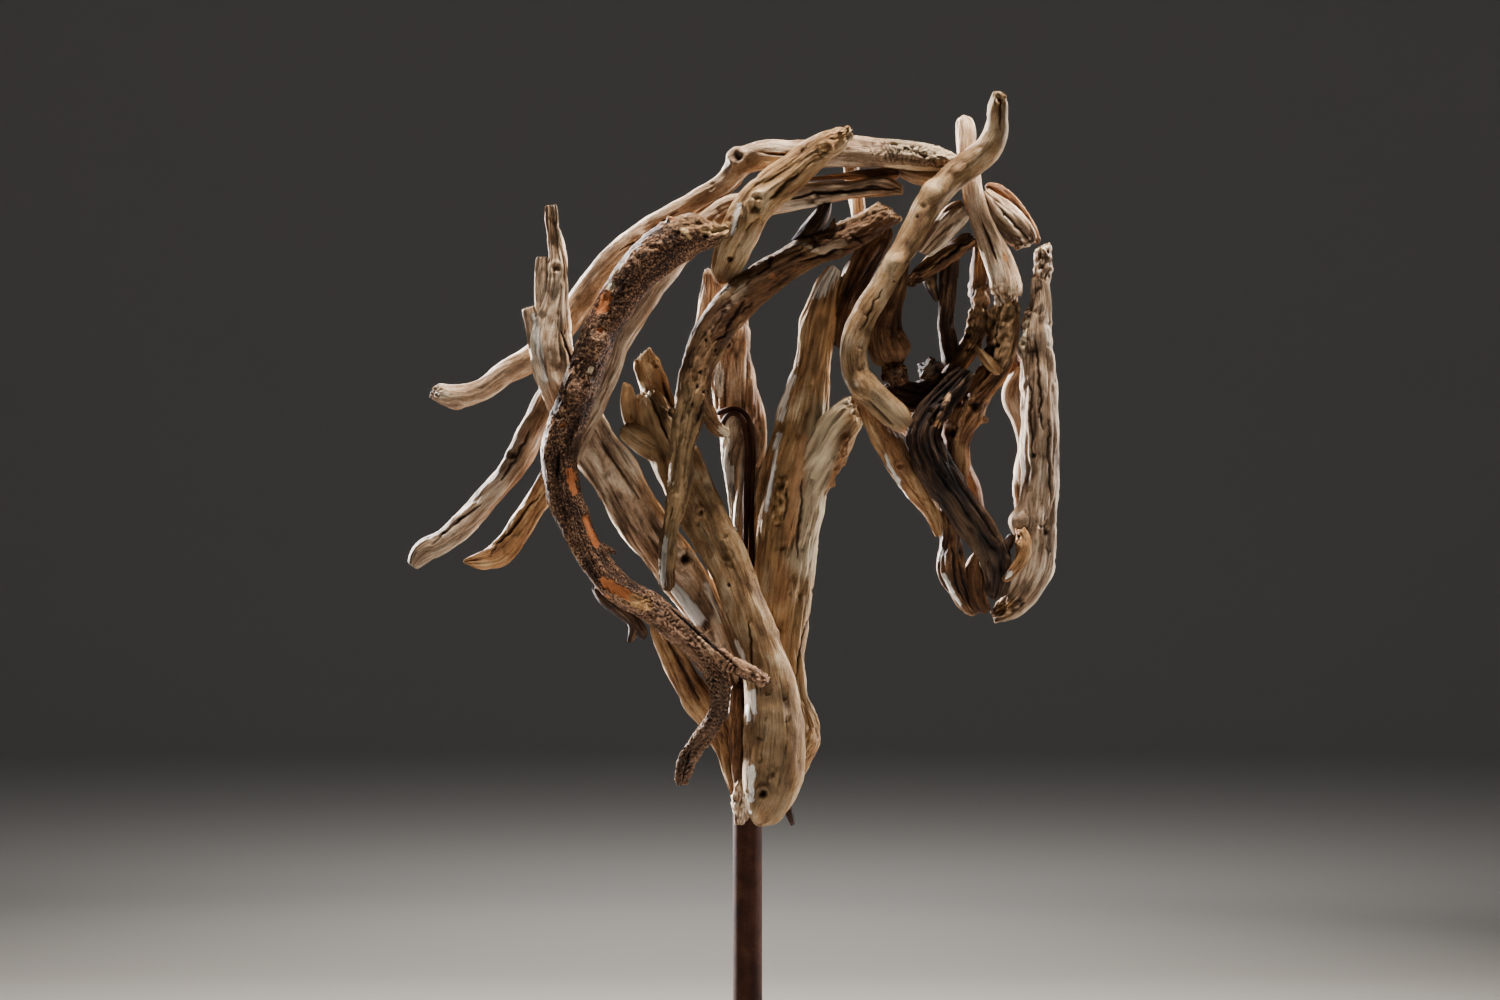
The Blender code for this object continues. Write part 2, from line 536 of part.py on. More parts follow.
# The far side, plainer, each branch behind one of the near side
stick("far_neck_log", TAN,
      [(672, 448, -18, 9), (688, 485, -22, 14), (712, 537, -26, 16), (737, 600, -30, 16),
       (756, 655, -32, 16), (768, 705, -31, 17), (771, 755, -29, 16),
       (768, 795, -26, 9)], sides=TWIG_SIDES, flat=0.8)
stick("far_throat_log", SILVER,
      [(822, 325, -22, 8), (813, 365, -28, 13), (803, 425, -36, 19), (793, 485, -41, 21),
       (786, 555, -41, 19), (784, 620, -38, 17), (788, 680, -34, 15),
       (790, 735, -30, 12)], sides=TWIG_SIDES, flat=0.7)
stick("far_brace", BROWN,
      [(893, 210, -14, 9), (857, 231, -21, 11), (808, 254, -29, 11), (766, 279, -36, 11),
       (727, 310, -42, 9)], sides=TWIG_SIDES)
stick("far_bow", TAN,
      [(742, 172, -16, 7), (706, 205, -20, 9), (666, 245, -26, 11), (634, 279, -31, 12),
       (606, 322, -34, 12), (581, 382, -35, 12), (563, 460, -32, 12), (572, 510, -29, 11),
       (592, 554, -25, 10), (628, 594, -20, 10), (694, 643, -9, 8), (714, 656, -5, 5)], sides=TWIG_SIDES)
stick("far_crest_stick", TAN,
      [(752, 158, -18, 6), (790, 155, -23, 9), (840, 153, -24, 10.5), (890, 155, -22, 10),
       (930, 161, -15, 8), (960, 171, -8, 6)], sides=TWIG_SIDES)
stick("far_cheek_branch", SILVER,
      [(966, 171, -10, 7), (944, 188, -18, 10), (918, 226, -30, 10.5), (893, 269, -40, 10.5),
       (867, 313, -47, 11), (855, 350, -49, 11), (860, 379, -48, 11), (884, 405, -45, 11),
       (905, 424, -42, 8)], sides=TWIG_SIDES)
stick("far_jaw_branch", BROWN,
      [(896, 412, -42, 8), (918, 432, -40, 12), (942, 448, -37, 13), (957, 466, -33, 13),
       (968, 486, -28, 12), (977, 508, -22, 7), (986, 534, -16, 8), (995, 560, -9, 9),
       (995, 590, -3, 7)], sides=TWIG_SIDES)
stick("far_brow_branch", BROWN,
      [(970, 185, -8, 7), (980, 215, -14, 10), (995, 250, -19, 11), (1005, 285, -21, 12),
       (1006, 320, -22, 12), (1008, 352, -22, 10), (1020, 378, -19, 8)], sides=TWIG_SIDES)
stick("far_nose_branch", SILVER,
      [(1024, 366, -14, 6), (1014, 395, -18, 12), (1021, 418, -19, 9.5), (1027, 446, -19, 9),
       (1027, 485, -19, 12.5), (1031, 522, -18, 12), (1031, 556, -16, 12), (1023, 582, -12, 10),
       (1011, 602, -6, 7)], sides=TWIG_SIDES)
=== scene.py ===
"""The looks of a driftwood horse head on its steel stand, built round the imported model. Metres, +Z up."""

import json
import math

import bmesh
import bpy
import numpy as np
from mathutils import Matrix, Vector
from mathutils.kdtree import KDTree

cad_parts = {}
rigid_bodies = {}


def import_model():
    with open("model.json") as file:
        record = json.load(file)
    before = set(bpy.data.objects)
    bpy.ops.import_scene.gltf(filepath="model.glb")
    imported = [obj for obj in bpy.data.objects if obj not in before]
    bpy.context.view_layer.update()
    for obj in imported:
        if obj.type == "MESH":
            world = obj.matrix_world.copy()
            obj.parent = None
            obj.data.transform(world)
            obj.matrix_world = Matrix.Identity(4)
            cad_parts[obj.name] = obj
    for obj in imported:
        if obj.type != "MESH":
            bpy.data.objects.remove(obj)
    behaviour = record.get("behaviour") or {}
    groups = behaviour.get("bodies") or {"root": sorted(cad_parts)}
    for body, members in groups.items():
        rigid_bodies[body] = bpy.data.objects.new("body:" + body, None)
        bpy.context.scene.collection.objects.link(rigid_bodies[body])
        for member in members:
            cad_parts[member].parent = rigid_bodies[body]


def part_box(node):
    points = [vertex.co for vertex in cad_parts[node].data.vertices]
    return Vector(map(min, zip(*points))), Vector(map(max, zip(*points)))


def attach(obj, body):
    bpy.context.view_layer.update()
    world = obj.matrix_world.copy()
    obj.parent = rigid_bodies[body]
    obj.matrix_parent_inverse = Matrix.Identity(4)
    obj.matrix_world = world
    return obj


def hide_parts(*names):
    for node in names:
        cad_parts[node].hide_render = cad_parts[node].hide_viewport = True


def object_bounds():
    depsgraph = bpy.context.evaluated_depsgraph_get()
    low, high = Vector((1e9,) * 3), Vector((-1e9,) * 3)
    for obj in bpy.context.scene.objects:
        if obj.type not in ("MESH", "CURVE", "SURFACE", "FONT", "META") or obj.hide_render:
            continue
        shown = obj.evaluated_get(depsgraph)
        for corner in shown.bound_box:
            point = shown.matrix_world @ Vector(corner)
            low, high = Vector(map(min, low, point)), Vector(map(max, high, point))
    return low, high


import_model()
cad_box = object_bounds()

# Stand plate
# A plate of rolled steel that lies on the floor and holds the whole sculpture up. It is cut square with its
# corners eased, its edges are filed, and it has gone an even dark rust like the rest of the stand.
STEEL_EDGE = 0.0014
PLATE_CORNER = 0.012
SHARP_ANGLE = math.radians(40)
RUST_DARK = (0.009, 0.004, 0.003)
RUST_MID = (0.022, 0.007, 0.0035)
RUST_LIGHT = (0.050, 0.020, 0.010)


def node(tree, kind, settings=(), **inputs):
    """A shader node with its settings and the values or links of its inputs."""
    made = tree.nodes.new(kind)
    for key, value in dict(settings).items():
        setattr(made, key, value)
    for key, value in inputs.items():
        socket = made.inputs[int(key[1:])] if key[0] == "_" else made.inputs[key.replace("_", " ")]
        if isinstance(value, bpy.types.NodeSocket):
            tree.links.new(value, socket)
        else:
            socket.default_value = value
    return made


def colour_ramp(tree, factor, stops):
    ramp = node(tree, "ShaderNodeValToRGB", Fac=factor)
    bands = ramp.color_ramp.elements
    while len(bands) < len(stops):
        bands.new(1.0)
    for band, (where, colour) in zip(bands, stops):
        band.position = where
        band.color = (*colour, 1.0)
    return ramp.outputs["Color"]


def new_material(name):
    made = bpy.data.materials.new(name)
    made.use_nodes = True
    return made, made.node_tree, made.node_tree.nodes["Principled BSDF"]


def rusted_steel(name, seed):
    """Dark rust: a fine grainy crust, with lighter blooms where it flakes and darker runs down the piece."""
    made, tree, shader = new_material(name)
    place_of = node(tree, "ShaderNodeTexCoord").outputs["Object"]
    moved = node(tree, "ShaderNodeMapping", Vector=place_of, Location=(seed, 0.3 * seed, 0.0))
    runs = node(tree, "ShaderNodeMapping", Vector=moved.outputs[0], Scale=(60.0, 60.0, 5.0))
    streak = node(tree, "ShaderNodeTexNoise", Vector=runs.outputs[0], Scale=1.0, Detail=4.0)
    bloom = node(tree, "ShaderNodeTexNoise", Vector=moved.outputs[0], Scale=38.0, Detail=6.0, Roughness=0.62)
    crust = node(tree, "ShaderNodeTexNoise", Vector=moved.outputs[0], Scale=620.0, Detail=4.0, Roughness=0.7)
    both = node(tree, "ShaderNodeMath", {"operation": "ADD"},
                _0=streak.outputs["Fac"], _1=bloom.outputs["Fac"])
    all_three = node(tree, "ShaderNodeMath", {"operation": "ADD"},
                     _0=both.outputs[0], _1=crust.outputs["Fac"])
    third = node(tree, "ShaderNodeMath", {"operation": "DIVIDE"}, _0=all_three.outputs[0], _1=3.0)
    stops = [(0.38, RUST_DARK), (0.50, RUST_MID), (0.62, RUST_LIGHT)]
    tree.links.new(colour_ramp(tree, third.outputs[0], stops), shader.inputs["Base Color"])
    bump = node(tree, "ShaderNodeBump", Strength=0.5, Distance=0.0006, Height=crust.outputs["Fac"])
    tree.links.new(bump.outputs[0], shader.inputs["Normal"])
    shader.inputs["Roughness"].default_value = 0.78
    shader.inputs["Specular IOR Level"].default_value = 0.08
    return made


def start_piece(name, primitive, **sizes):
    """A primitive that is added alone and named. Whatever was selected is let go first."""
    bpy.ops.object.select_all(action="DESELECT")
    primitive(**sizes)
    piece = bpy.context.object
    piece.name = name
    piece.data.name = name
    return piece


def apply_modifiers(piece):
    bpy.context.view_layer.objects.active = piece
    for step in list(piece.modifiers):
        bpy.ops.object.modifier_apply(modifier=step.name)


def stands_for(piece, node_name, material):
    """The piece takes the place of a solid, rides as it did, and gets its finish."""
    piece.data.materials.clear()
    piece.data.materials.append(material)
    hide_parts(node_name)
    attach(piece, "root")


plate_low, plate_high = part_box("stand_plate")
plate_size = plate_high - plate_low
plate = start_piece("steel_plate", bpy.ops.mesh.primitive_cube_add, size=1.0, location=(0, 0, 0))
plate.scale = plate_size
plate.location = (plate_low + plate_high) / 2
bpy.ops.object.transform_apply(location=True, rotation=False, scale=True)
bpy.ops.object.mode_set(mode="EDIT")
bpy.ops.mesh.select_all(action="DESELECT")
plate_mesh = bmesh.from_edit_mesh(plate.data)
for edge in plate_mesh.edges:
    edge.select = abs(edge.verts[0].co.z - edge.verts[1].co.z) > plate_size.z / 2
bmesh.update_edit_mesh(plate.data)
bpy.ops.mesh.bevel(offset=PLATE_CORNER, segments=8, affect="EDGES")
bpy.ops.object.mode_set(mode="OBJECT")
eased = plate.modifiers.new("Eased edges", "BEVEL")
eased.width = STEEL_EDGE
eased.segments = 3
apply_modifiers(plate)
bpy.ops.object.shade_smooth_by_angle(angle=SHARP_ANGLE)
stands_for(plate, "stand_plate", rusted_steel("plate_rust", 1.7))

# Stand post and its weld
# A round steel tube that runs up from the plate between the logs, which hide its open end. A fillet weld goes
# round its foot, laid in short overlapping beads, and rust covers tube and weld alike.
POST_SIDES = 96
POST_WALL = 0.0032
TUBE_DEPTH = 0.15
WELD_LEG = 0.007
WELD_BEADS = 22
WELD_HEIGHT_SHARE = 0.16

post_low, post_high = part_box("stand_post")
POST_RADIUS = (post_high.x - post_low.x) / 2 - WELD_LEG
post_height = post_high.z - post_low.z
post = start_piece("steel_post", bpy.ops.mesh.primitive_cylinder_add, vertices=POST_SIDES, radius=POST_RADIUS,
                   depth=post_height, location=(0, 0, (post_low.z + post_high.z) / 2))
bpy.ops.object.transform_apply(location=True)
bpy.ops.object.mode_set(mode="EDIT")
post_mesh = bmesh.from_edit_mesh(post.data)
for face in post_mesh.faces:
    face.select = face.normal.z > 0.5
bmesh.update_edit_mesh(post.data)
bpy.ops.mesh.select_mode(type="FACE")
bpy.ops.mesh.inset(thickness=POST_WALL)
bpy.ops.mesh.extrude_region_move(TRANSFORM_OT_translate={"value": (0, 0, -TUBE_DEPTH)})
bpy.ops.object.mode_set(mode="OBJECT")
bpy.ops.object.shade_smooth_by_angle(angle=SHARP_ANGLE)
weld = start_piece("post_weld", bpy.ops.mesh.primitive_torus_add, major_radius=POST_RADIUS + 0.25 * WELD_LEG,
                   minor_radius=0.72 * WELD_LEG, major_segments=132, minor_segments=12,
                   location=(0, 0, post_low.z))
bpy.ops.object.transform_apply(location=True)
for vert in weld.data.vertices:
    turn = math.atan2(vert.co.y, vert.co.x)
    ripple = 1.0 + WELD_HEIGHT_SHARE * math.sin(WELD_BEADS * turn + 0.8 * math.sin(3 * turn))
    vert.co.z = max(post_low.z, post_low.z + (vert.co.z - post_low.z) * ripple)
bpy.ops.object.shade_smooth()
post.select_set(True)
bpy.context.view_layer.objects.active = post
bpy.ops.object.join()
stands_for(post, "stand_post", rusted_steel("post_rust", 5.1))

# The upright logs of the neck
# Three logs stand round the post and carry all the rest. They are soft driftwood, their bark long gone, worn
# smooth by the sea and split along the grain where they dried, and are screwed to the post from behind.
WOOD_HEIGHT, FOOT_HEIGHT = 1.072, 0.432
EAR_TIP_DOWN, FOOT_DOWN, POST_ACROSS = 89.0, 828.0, 747.5
UNIT = WOOD_HEIGHT / (FOOT_DOWN - EAR_TIP_DOWN)
DRAWING_WIDTH, EYE_ACROSS, EYE_DOWN, VIEW_DISTANCE = 1500, 750.0, 500.0, 6.0
EYE_X = (EYE_ACROSS - POST_ACROSS) * UNIT
EYE_Z = FOOT_HEIGHT + (FOOT_DOWN - EYE_DOWN) * UNIT
SPACING = 0.0022
FAR_COARSENESS = 1.9
CUTS_AT_ONCE = 90
CAP_INSETS = (0.05, 0.09, 0.14, 0.18, 0.20)
SPINE_STEP = 0.0015
JAG_SIZE = 0.0045
SEAM_REACH = 2e-5
CARRIED = (("grain", "FLOAT_VECTOR", "vector", 3), ("cavity", "FLOAT", "value", 1),
           ("tint", "FLOAT_COLOR", "color", 4), ("torn", "FLOAT", "value", 1))
LUMP = 0.05
FILLET = 0.007
NEAR_SIDE_SHARE = 0.35
FLECK_SHARE = 0.12


def srgb(red, green, blue):
    """A colour as the eye names it, from 0 to 255, as linear light."""
    return tuple((v / 255.0) ** 2.2 for v in (red, green, blue))


WOODS = {
    "pale": (srgb(100, 68, 40), srgb(168, 130, 88), srgb(218, 190, 150)),
    "silver": (srgb(84, 62, 46), srgb(158, 129, 102), srgb(214, 194, 168)),
    "tan": (srgb(80, 48, 26), srgb(148, 106, 67), srgb(204, 168, 122)),
    "brown": (srgb(40, 23, 14), srgb(98, 65, 40), srgb(164, 124, 86)),
    "dark": (srgb(20, 12, 8), srgb(54, 36, 25), srgb(118, 88, 64)),
    "bark": (srgb(18, 11, 8), srgb(70, 47, 33), srgb(158, 120, 90)),
}
ORANGE = srgb(178, 106, 62)
CHIP = srgb(206, 182, 148)
# The white below is painted rim light: white streaks laid on edges that a lamp from behind would catch.
RIM_LIGHT_WHITE = srgb(218, 208, 194)
STRAW = srgb(186, 152, 108)
WALNUT = srgb(120, 84, 56)
CREAM = srgb(222, 200, 168)


def place(drawn):
    """Points of the drawing (across, down, near) in metres, each moved along its own line of sight."""
    depth = -drawn[:, 2] * UNIT
    seen = 1.0 + depth / VIEW_DISTANCE
    x = EYE_X + (drawn[:, 0] - EYE_ACROSS) * UNIT * seen
    z = EYE_Z + (EYE_DOWN - drawn[:, 1]) * UNIT * seen
    return np.column_stack((x, depth, z)), seen


def on_drawing(points):
    """Where points in metres are seen on the drawing, as two arrays, across and down."""
    seen = 1.0 + points[:, 1] / VIEW_DISTANCE
    across = EYE_ACROSS + (points[:, 0] - EYE_X) / (UNIT * seen)
    down = EYE_DOWN - (points[:, 2] - EYE_Z) / (UNIT * seen)
    return across, down


def through(knots, values, at):
    """A smooth curve through all the values, read at other places along the knots."""
    gaps = np.diff(knots)[:, None]
    slopes = np.diff(values, axis=0) / gaps
    inner = (slopes[:-1] * gaps[1:] + slopes[1:] * gaps[:-1]) / (gaps[1:] + gaps[:-1])
    lean = np.vstack((slopes[:1], inner, slopes[-1:]))
    i = np.clip(np.searchsorted(knots, at, side="right") - 1, 0, len(gaps) - 1)
    gap = gaps[i]
    t = (at - knots[i])[:, None] / gap
    start = (2 * t**3 - 3 * t**2 + 1) * values[i] + (t**3 - 2 * t**2 + t) * gap * lean[i]
    return start + (3 * t**2 - 2 * t**3) * values[i + 1] + (t**3 - t**2) * gap * lean[i + 1]


def noise(points, seed):
    """Smooth lumps and hollows between about -1 and 1, one to a unit of length."""
    cell = np.floor(points).astype(np.int64)
    part = points - cell
    fade = part**3 * (part * (part * 6 - 15) + 10)
    total = np.zeros(len(points))
    for corner in range(8):
        step = np.array([corner & 1, corner >> 1 & 1, corner >> 2 & 1])
        at = cell + step
        mixed = at[:, 0] * 374761393 + at[:, 1] * 668265263 + at[:, 2] * 1442695041 + seed * 1274126177
        mixed = (mixed ^ (mixed >> 13)) * 1103515245 & 0x7FFFFFFF
        mixed = (mixed ^ (mixed >> 15)) * 12345677 & 0x7FFFFFFF
        slope = np.column_stack([(mixed >> shift & 255) / 127.5 - 1.0 for shift in (4, 12, 20)])
        weight = np.prod(np.where(step, fade, 1 - fade), axis=1)
        total += weight * np.sum(slope * (part - step), axis=1)
    return total * 1.5


def ease(low, high, values):
    """0 below low, 1 above high, and a soft step between."""
    t = np.clip((values - low) / (high - low), 0.0, 1.0)
    return t * t * (3 - 2 * t)


def bell(values):
    return np.exp(-values * values)


class Stem:
    """A stick's middle line, drawn smoothly through its rows, with its half width and its section's axes."""

    def __init__(self, rows, flat):
        rows = np.array(rows, float)
        points, seen = place(rows[:, :3])
        knots = np.concatenate(([0.0], np.cumsum(np.linalg.norm(np.diff(points, axis=0), axis=1))))
        self.at = np.linspace(0.0, knots[-1], max(8, int(knots[-1] / SPINE_STEP)))
        self.points = through(knots, points, self.at)
        halves = through(knots, rows[:, 3:] * UNIT * seen[:, None], self.at)[:, 0]
        self.halves = np.maximum(halves, 0.6 * rows[:, 3].min() * UNIT)
        self.ring = np.interp(self.at, knots, np.arange(len(rows)))
        self.length = knots[-1]
        self.half = float(self.halves.mean())
        self.flat = flat
        self.turn = rows[0, 0]
        tangent = np.gradient(self.points, self.at, axis=0)
        tangent /= np.linalg.norm(tangent, axis=1)[:, None]
        side = np.cross(tangent, (0.0, 1.0, 0.0))
        end_on = np.linalg.norm(side, axis=1) < 0.35
        side[end_on] = np.array((1.0, 0.0, 0.0)) - tangent[end_on] * tangent[end_on, :1]
        self.side = side / np.linalg.norm(side, axis=1)[:, None]
        self.deep = np.cross(self.side, tangent)
        self.tangent = tangent

    def read(self, along, values):
        """Values kept along the middle line, read at other distances along it."""
        if values.ndim == 1:
            return np.interp(along, self.at, values)
        return np.column_stack([np.interp(along, self.at, column) for column in values.T])

    def outside(self, points):
        """How far points stand off this stem's surface, in metres, less than nothing inside it."""
        best = np.full(len(points), 1e9)
        nearest = np.zeros(len(points), int)
        for i in range(0, len(self.at), 3):
            off = points - self.points[i]
            square = np.einsum("ij,ij->i", off, off)
            closer = square < best
            best[closer] = square[closer]
            nearest[closer] = i
        off = points - self.points[nearest]
        wide = np.sum(off * self.side[nearest], axis=1) / self.halves[nearest]
        thick = np.sum(off * self.deep[nearest], axis=1) / (self.halves[nearest] * self.flat)
        past = np.abs(np.sum(off * self.tangent[nearest], axis=1))
        return (np.hypot(wide, thick) - 1.0) * self.halves[nearest] * (1 + self.flat) / 2 + past


def pick(piece, kind, wanted):
    """In edit mode, selects the faces or edges of a piece that are wanted, and no others."""
    bpy.ops.mesh.select_mode(type=kind)
    bpy.ops.mesh.select_all(action="DESELECT")
    mesh = bmesh.from_edit_mesh(piece.data)
    for part in mesh.faces if kind == "FACE" else mesh.edges:
        if wanted(part):
            part.select_set(True)
    bmesh.update_edit_mesh(piece.data)


def is_cap(face):
    return abs(face.normal.z) > 0.5


def is_upright(edge):
    return abs(edge.verts[0].co.z - edge.verts[1].co.z) > 1e-6


def blank(name, sides, rings):
    """A round bar, one unit in radius and length, cut into rings, with ends that can be broken or worn."""
    piece = start_piece(name, bpy.ops.mesh.primitive_cylinder_add, vertices=sides, radius=1.0, depth=1.0,
                        location=(0.0, 0.0, 0.5))
    bpy.ops.object.transform_apply(location=True)
    bpy.ops.object.mode_set(mode="EDIT")
    pick(piece, "FACE", is_cap)
    for width in CAP_INSETS:
        bpy.ops.mesh.inset(thickness=width, use_individual=True)
    bpy.ops.mesh.poke()
    pieces_each = math.ceil(rings / CUTS_AT_ONCE)
    for cuts in (math.ceil(rings / pieces_each) - 1, pieces_each - 1):
        if cuts:
            pick(piece, "EDGE", is_upright)
            bpy.ops.mesh.subdivide(number_cuts=cuts)
    bpy.ops.object.mode_set(mode="OBJECT")
    return piece


def corners_of(piece):
    flat_list = np.empty(3 * len(piece.data.vertices))
    piece.data.vertices.foreach_get("co", flat_list)
    return flat_list.reshape(-1, 3)


def keep_values(piece, name, kind, field, values):
    """Writes one value a corner to the mesh, for the material to read."""
    held = piece.data.attributes.new(name, kind, "POINT")
    held.data.foreach_set(field, values.astype(np.float32).ravel())


def read_values(piece, name, field, width):
    held = piece.data.attributes[name].data
    flat_list = np.empty(width * len(held), np.float32)
    held.foreach_get(field, flat_list)
    return flat_list.reshape(-1, width)


def mark(kind, across, down, size, to=None, tone=None):
    """Something seen at a place of the drawing, or along a line from there to another place."""
    return kind, (across, down), size, to or (across, down), tone


def knot(across, down, size):
    return mark("knot", across, down, size)


def hole(across, down, size):
    return mark("hole", across, down, size)


def bump(across, down, size):
    return mark("bump", across, down, size)


def crack(across, down, size, to):
    return mark("crack", across, down, size, to)


def rough(across, down, size, to=None):
    return mark("rough", across, down, size, to)


# A patch of colour with a ragged edge on the near side. Most are real stains, and the white ones are painted
# rim light along lit edges.
def stain_and_highlight(across, down, size, tone, to=None):
    return mark("stain_and_highlight", across, down, size, to, tone)


def wash(across, down, size, tone, to=None):
    """A soft change of colour, with no edge."""
    return mark("wash", across, down, size, to, tone)


def hollow(across, down, size, to=None):
    """A wide dark groove with soft sides."""
    return mark("hollow", across, down, size, to)


def wrinkled(across, down, size, to=None):
    """Bark in tight rings across the branch."""
    return mark("wrinkled", across, down, size, to)


def bare(across, down, size, tone, to=None):
    """A patch where the bark has come away and the wood under it shows."""
    return mark("bare", across, down, size, to, tone)


def away_from(across, down, start, end):
    """Distance on the drawing from a point, or from a line where there are two ends."""
    line = np.subtract(end, start)
    length = float(line @ line)
    off_across, off_down = across - start[0], down - start[1]
    share = np.clip((off_across * line[0] + off_down * line[1]) / max(length, 1e-9), 0, 1) if length else 0.0
    return np.hypot(off_across - share * line[0], off_down - share * line[1])


def crack_width(across, down, start, end, size):
    """1 in the middle of a crack and 0 beside it. It narrows to nothing at both ends."""
    line = np.subtract(end, start)
    length = math.hypot(*line)
    off_across, off_down = across - start[0], down - start[1]
    share = (off_across * line[0] + off_down * line[1]) / length**2
    lateral = (off_across * line[1] - off_down * line[0]) / length
    width = size * np.sqrt(np.clip(4 * share * (1 - share), 1e-4, 1))
    return bell(lateral / width) * ((share > 0) & (share < 1))


class Surface:
    """The skin of one stem while it is worked: where its corners are, which way out is, and what shows there.
    Cavity is how deep in a crack a corner lies, and the colour darkens with it, as dirt and painted shade.
    Tint is a colour laid over the wood: real stains and, where it is white, painted rim light. Torn is how
    splintered."""

    def __init__(self, stem, bar, ends, square, twist, seed):
        raw = corners_of(bar)
        turn = np.arctan2(raw[:, 1], raw[:, 0])
        turn -= NEAR_SIDE_SHARE * np.cos(turn)
        out = np.hypot(raw[:, 0], raw[:, 1])
        along = raw[:, 2] * stem.length
        ring = np.column_stack((np.cos(turn), np.sin(turn)))
        shrink = np.ones(len(raw))
        for end, kind in enumerate(ends):
            reach = stem.length - along if end else along.copy()
            half = stem.halves[-1 if end else 0]
            if kind == "broken":
                spread = ring * out[:, None] * half / JAG_SIZE
                section = np.column_stack((spread, np.full(len(raw), 7.0 * end)))
                jags = noise(section, seed + 3) + 0.6 * noise(section * 2.3, seed + 4)
                lean = np.array((math.cos(seed * 1.7 + end), math.sin(seed * 1.7 + end)))
                slant = 0.45 * (1.0 + ring @ lean * out)
                pull = half * np.clip(slant + 0.12 + 0.55 * jags, 0.0, 1.6)
                worn = 0.05
            elif kind == "worn":
                pull = half * 0.45 * out**2
                worn = 0.30
            else:
                pull = half * 0.10 * out**4
                worn = 0.06
            near_end = np.clip(1 - reach / (2.5 * half), 0, 1) ** 2
            along = along + (-pull if end else pull) * near_end
            shrink *= 1 - worn * np.clip(1 - reach / (0.8 * half), 0, 1) ** 2
        swirl = stem.turn + 0.6 * stem.read(along, stem.ring)
        oval = np.sin(2 * turn + swirl)
        ridges = np.sin(3 * turn + 2 * stem.turn - 0.4 * stem.read(along, stem.ring))
        half = stem.read(along, stem.halves) * (1 + LUMP * (oval + ridges) / 2) * out * shrink
        across = np.sign(ring[:, 0]) * np.abs(ring[:, 0]) ** square
        depth = np.sign(ring[:, 1]) * np.abs(ring[:, 1]) ** square
        side, deep = stem.read(along, stem.side), stem.read(along, stem.deep)
        half_across, half_deep = half * across, half * stem.flat * depth
        self.points = stem.read(along, stem.points) + side * half_across[:, None] + deep * half_deep[:, None]
        self.normal = side * (ring[:, :1] * stem.flat) + deep * ring[:, 1:]
        self.normal /= np.maximum(np.linalg.norm(self.normal, axis=1), 1e-9)[:, None]
        self.skin = out**3
        self.facing = ease(-0.1, 0.35, -self.normal[:, 1])
        wound = turn + twist * along / stem.half
        self.grain = np.column_stack((np.cos(wound) * stem.half * out, np.sin(wound) * stem.half * out,
                                      along))
        self.side_on_drawing = np.column_stack((side[:, 0], -side[:, 2]))
        self.rise = np.zeros(len(raw))
        self.cavity = np.zeros(len(raw))
        self.tint = np.zeros((len(raw), 4))
        self.smooth = np.zeros(len(raw))
        self.torn = np.zeros(len(raw))
        self.seed = seed
        self.half = stem.half

    def wavy(self, across_size, along_size, seed):
        """Noise drawn out along the grain."""
        return noise(self.grain / (across_size, across_size, along_size), self.seed + seed)

    def paint(self, mask, tone):
        mask = np.clip(mask, 0, 1)
        self.tint[:, :3] += (np.array(tone) - self.tint[:, :3]) * mask[:, None]
        self.tint[:, 3] = np.maximum(self.tint[:, 3], mask)

    def bend_grain(self, marks):
        """The grain runs round a knot as water runs round a stone."""
        across, down = on_drawing(self.points)
        for kind, start, size, end, tone in marks:
            if kind not in ("knot", "hole", "bump"):
                continue
            off = np.column_stack((across - start[0], down - start[1]))
            square = np.sum(off * off, axis=1) / (size * size)
            lateral = np.sum(off * self.side_on_drawing, axis=1)
            shift = -lateral / np.maximum(square, 1.0) * bell(np.sqrt(square) / 4.0) * self.facing
            self.grain[:, 0] += shift * UNIT

    def work(self, marks):
        """Cuts, raises and colours what is seen on the near side."""
        across, down = on_drawing(self.points)
        for kind, start, size, end, tone in marks:
            away = away_from(across, down, start, end) / size
            depth = size * UNIT
            if kind == "knot":
                self.rise += self.facing * depth * (0.40 * bell((away - 1.0) / 0.4) - 0.55 * bell(away / 0.6))
                self.cavity += self.facing * 0.8 * bell(away / 0.55)
            elif kind == "hole":
                self.rise -= self.facing * depth * 1.3 * ease(1.1, 0.5, away)
                self.cavity += self.facing * 1.6 * ease(1.15, 0.7, away)
            elif kind == "bump":
                self.rise += self.facing * depth * 0.45 * bell(away)
            elif kind == "crack":
                wander = 1.6 * self.wavy(0.02, 0.010, 35) + 2.2 * self.wavy(0.05, 0.035, 36)
                split = self.facing * crack_width(across + wander, down + wander, start, end, size)
                self.rise -= depth * 1.8 * split
                self.cavity += 1.4 * split
            elif kind == "rough":
                torn = ease(1.35, 0.6, away + 0.5 * self.wavy(0.010, 0.014, 37))
                chunks = 3 * noise(self.points / 0.0115, self.seed + 22)
                flakes = 0.75 * np.round(chunks) + 0.25 * chunks
                splinters = np.abs(self.wavy(0.0058, 0.024, 21))
                self.rise += torn * (0.0024 * flakes + 0.0065 * (splinters - 0.26) - 0.0004)
                self.cavity += torn * (0.40 * np.clip(-flakes, 0, 1)
                                       + 0.30 * ease(0.09, 0.0, splinters) - 0.25)
                self.torn = np.maximum(self.torn, torn)
            elif kind == "wash":
                self.paint(0.75 * ease(1.5, 0.3, away + 0.5 * self.wavy(0.012, 0.03, 33)), tone)
            elif kind == "hollow":
                groove = self.facing * bell(away + 0.4 * self.wavy(0.008, 0.03, 38))
                self.rise -= 0.55 * depth * groove
                self.cavity += 0.7 * groove
            elif kind == "wrinkled":
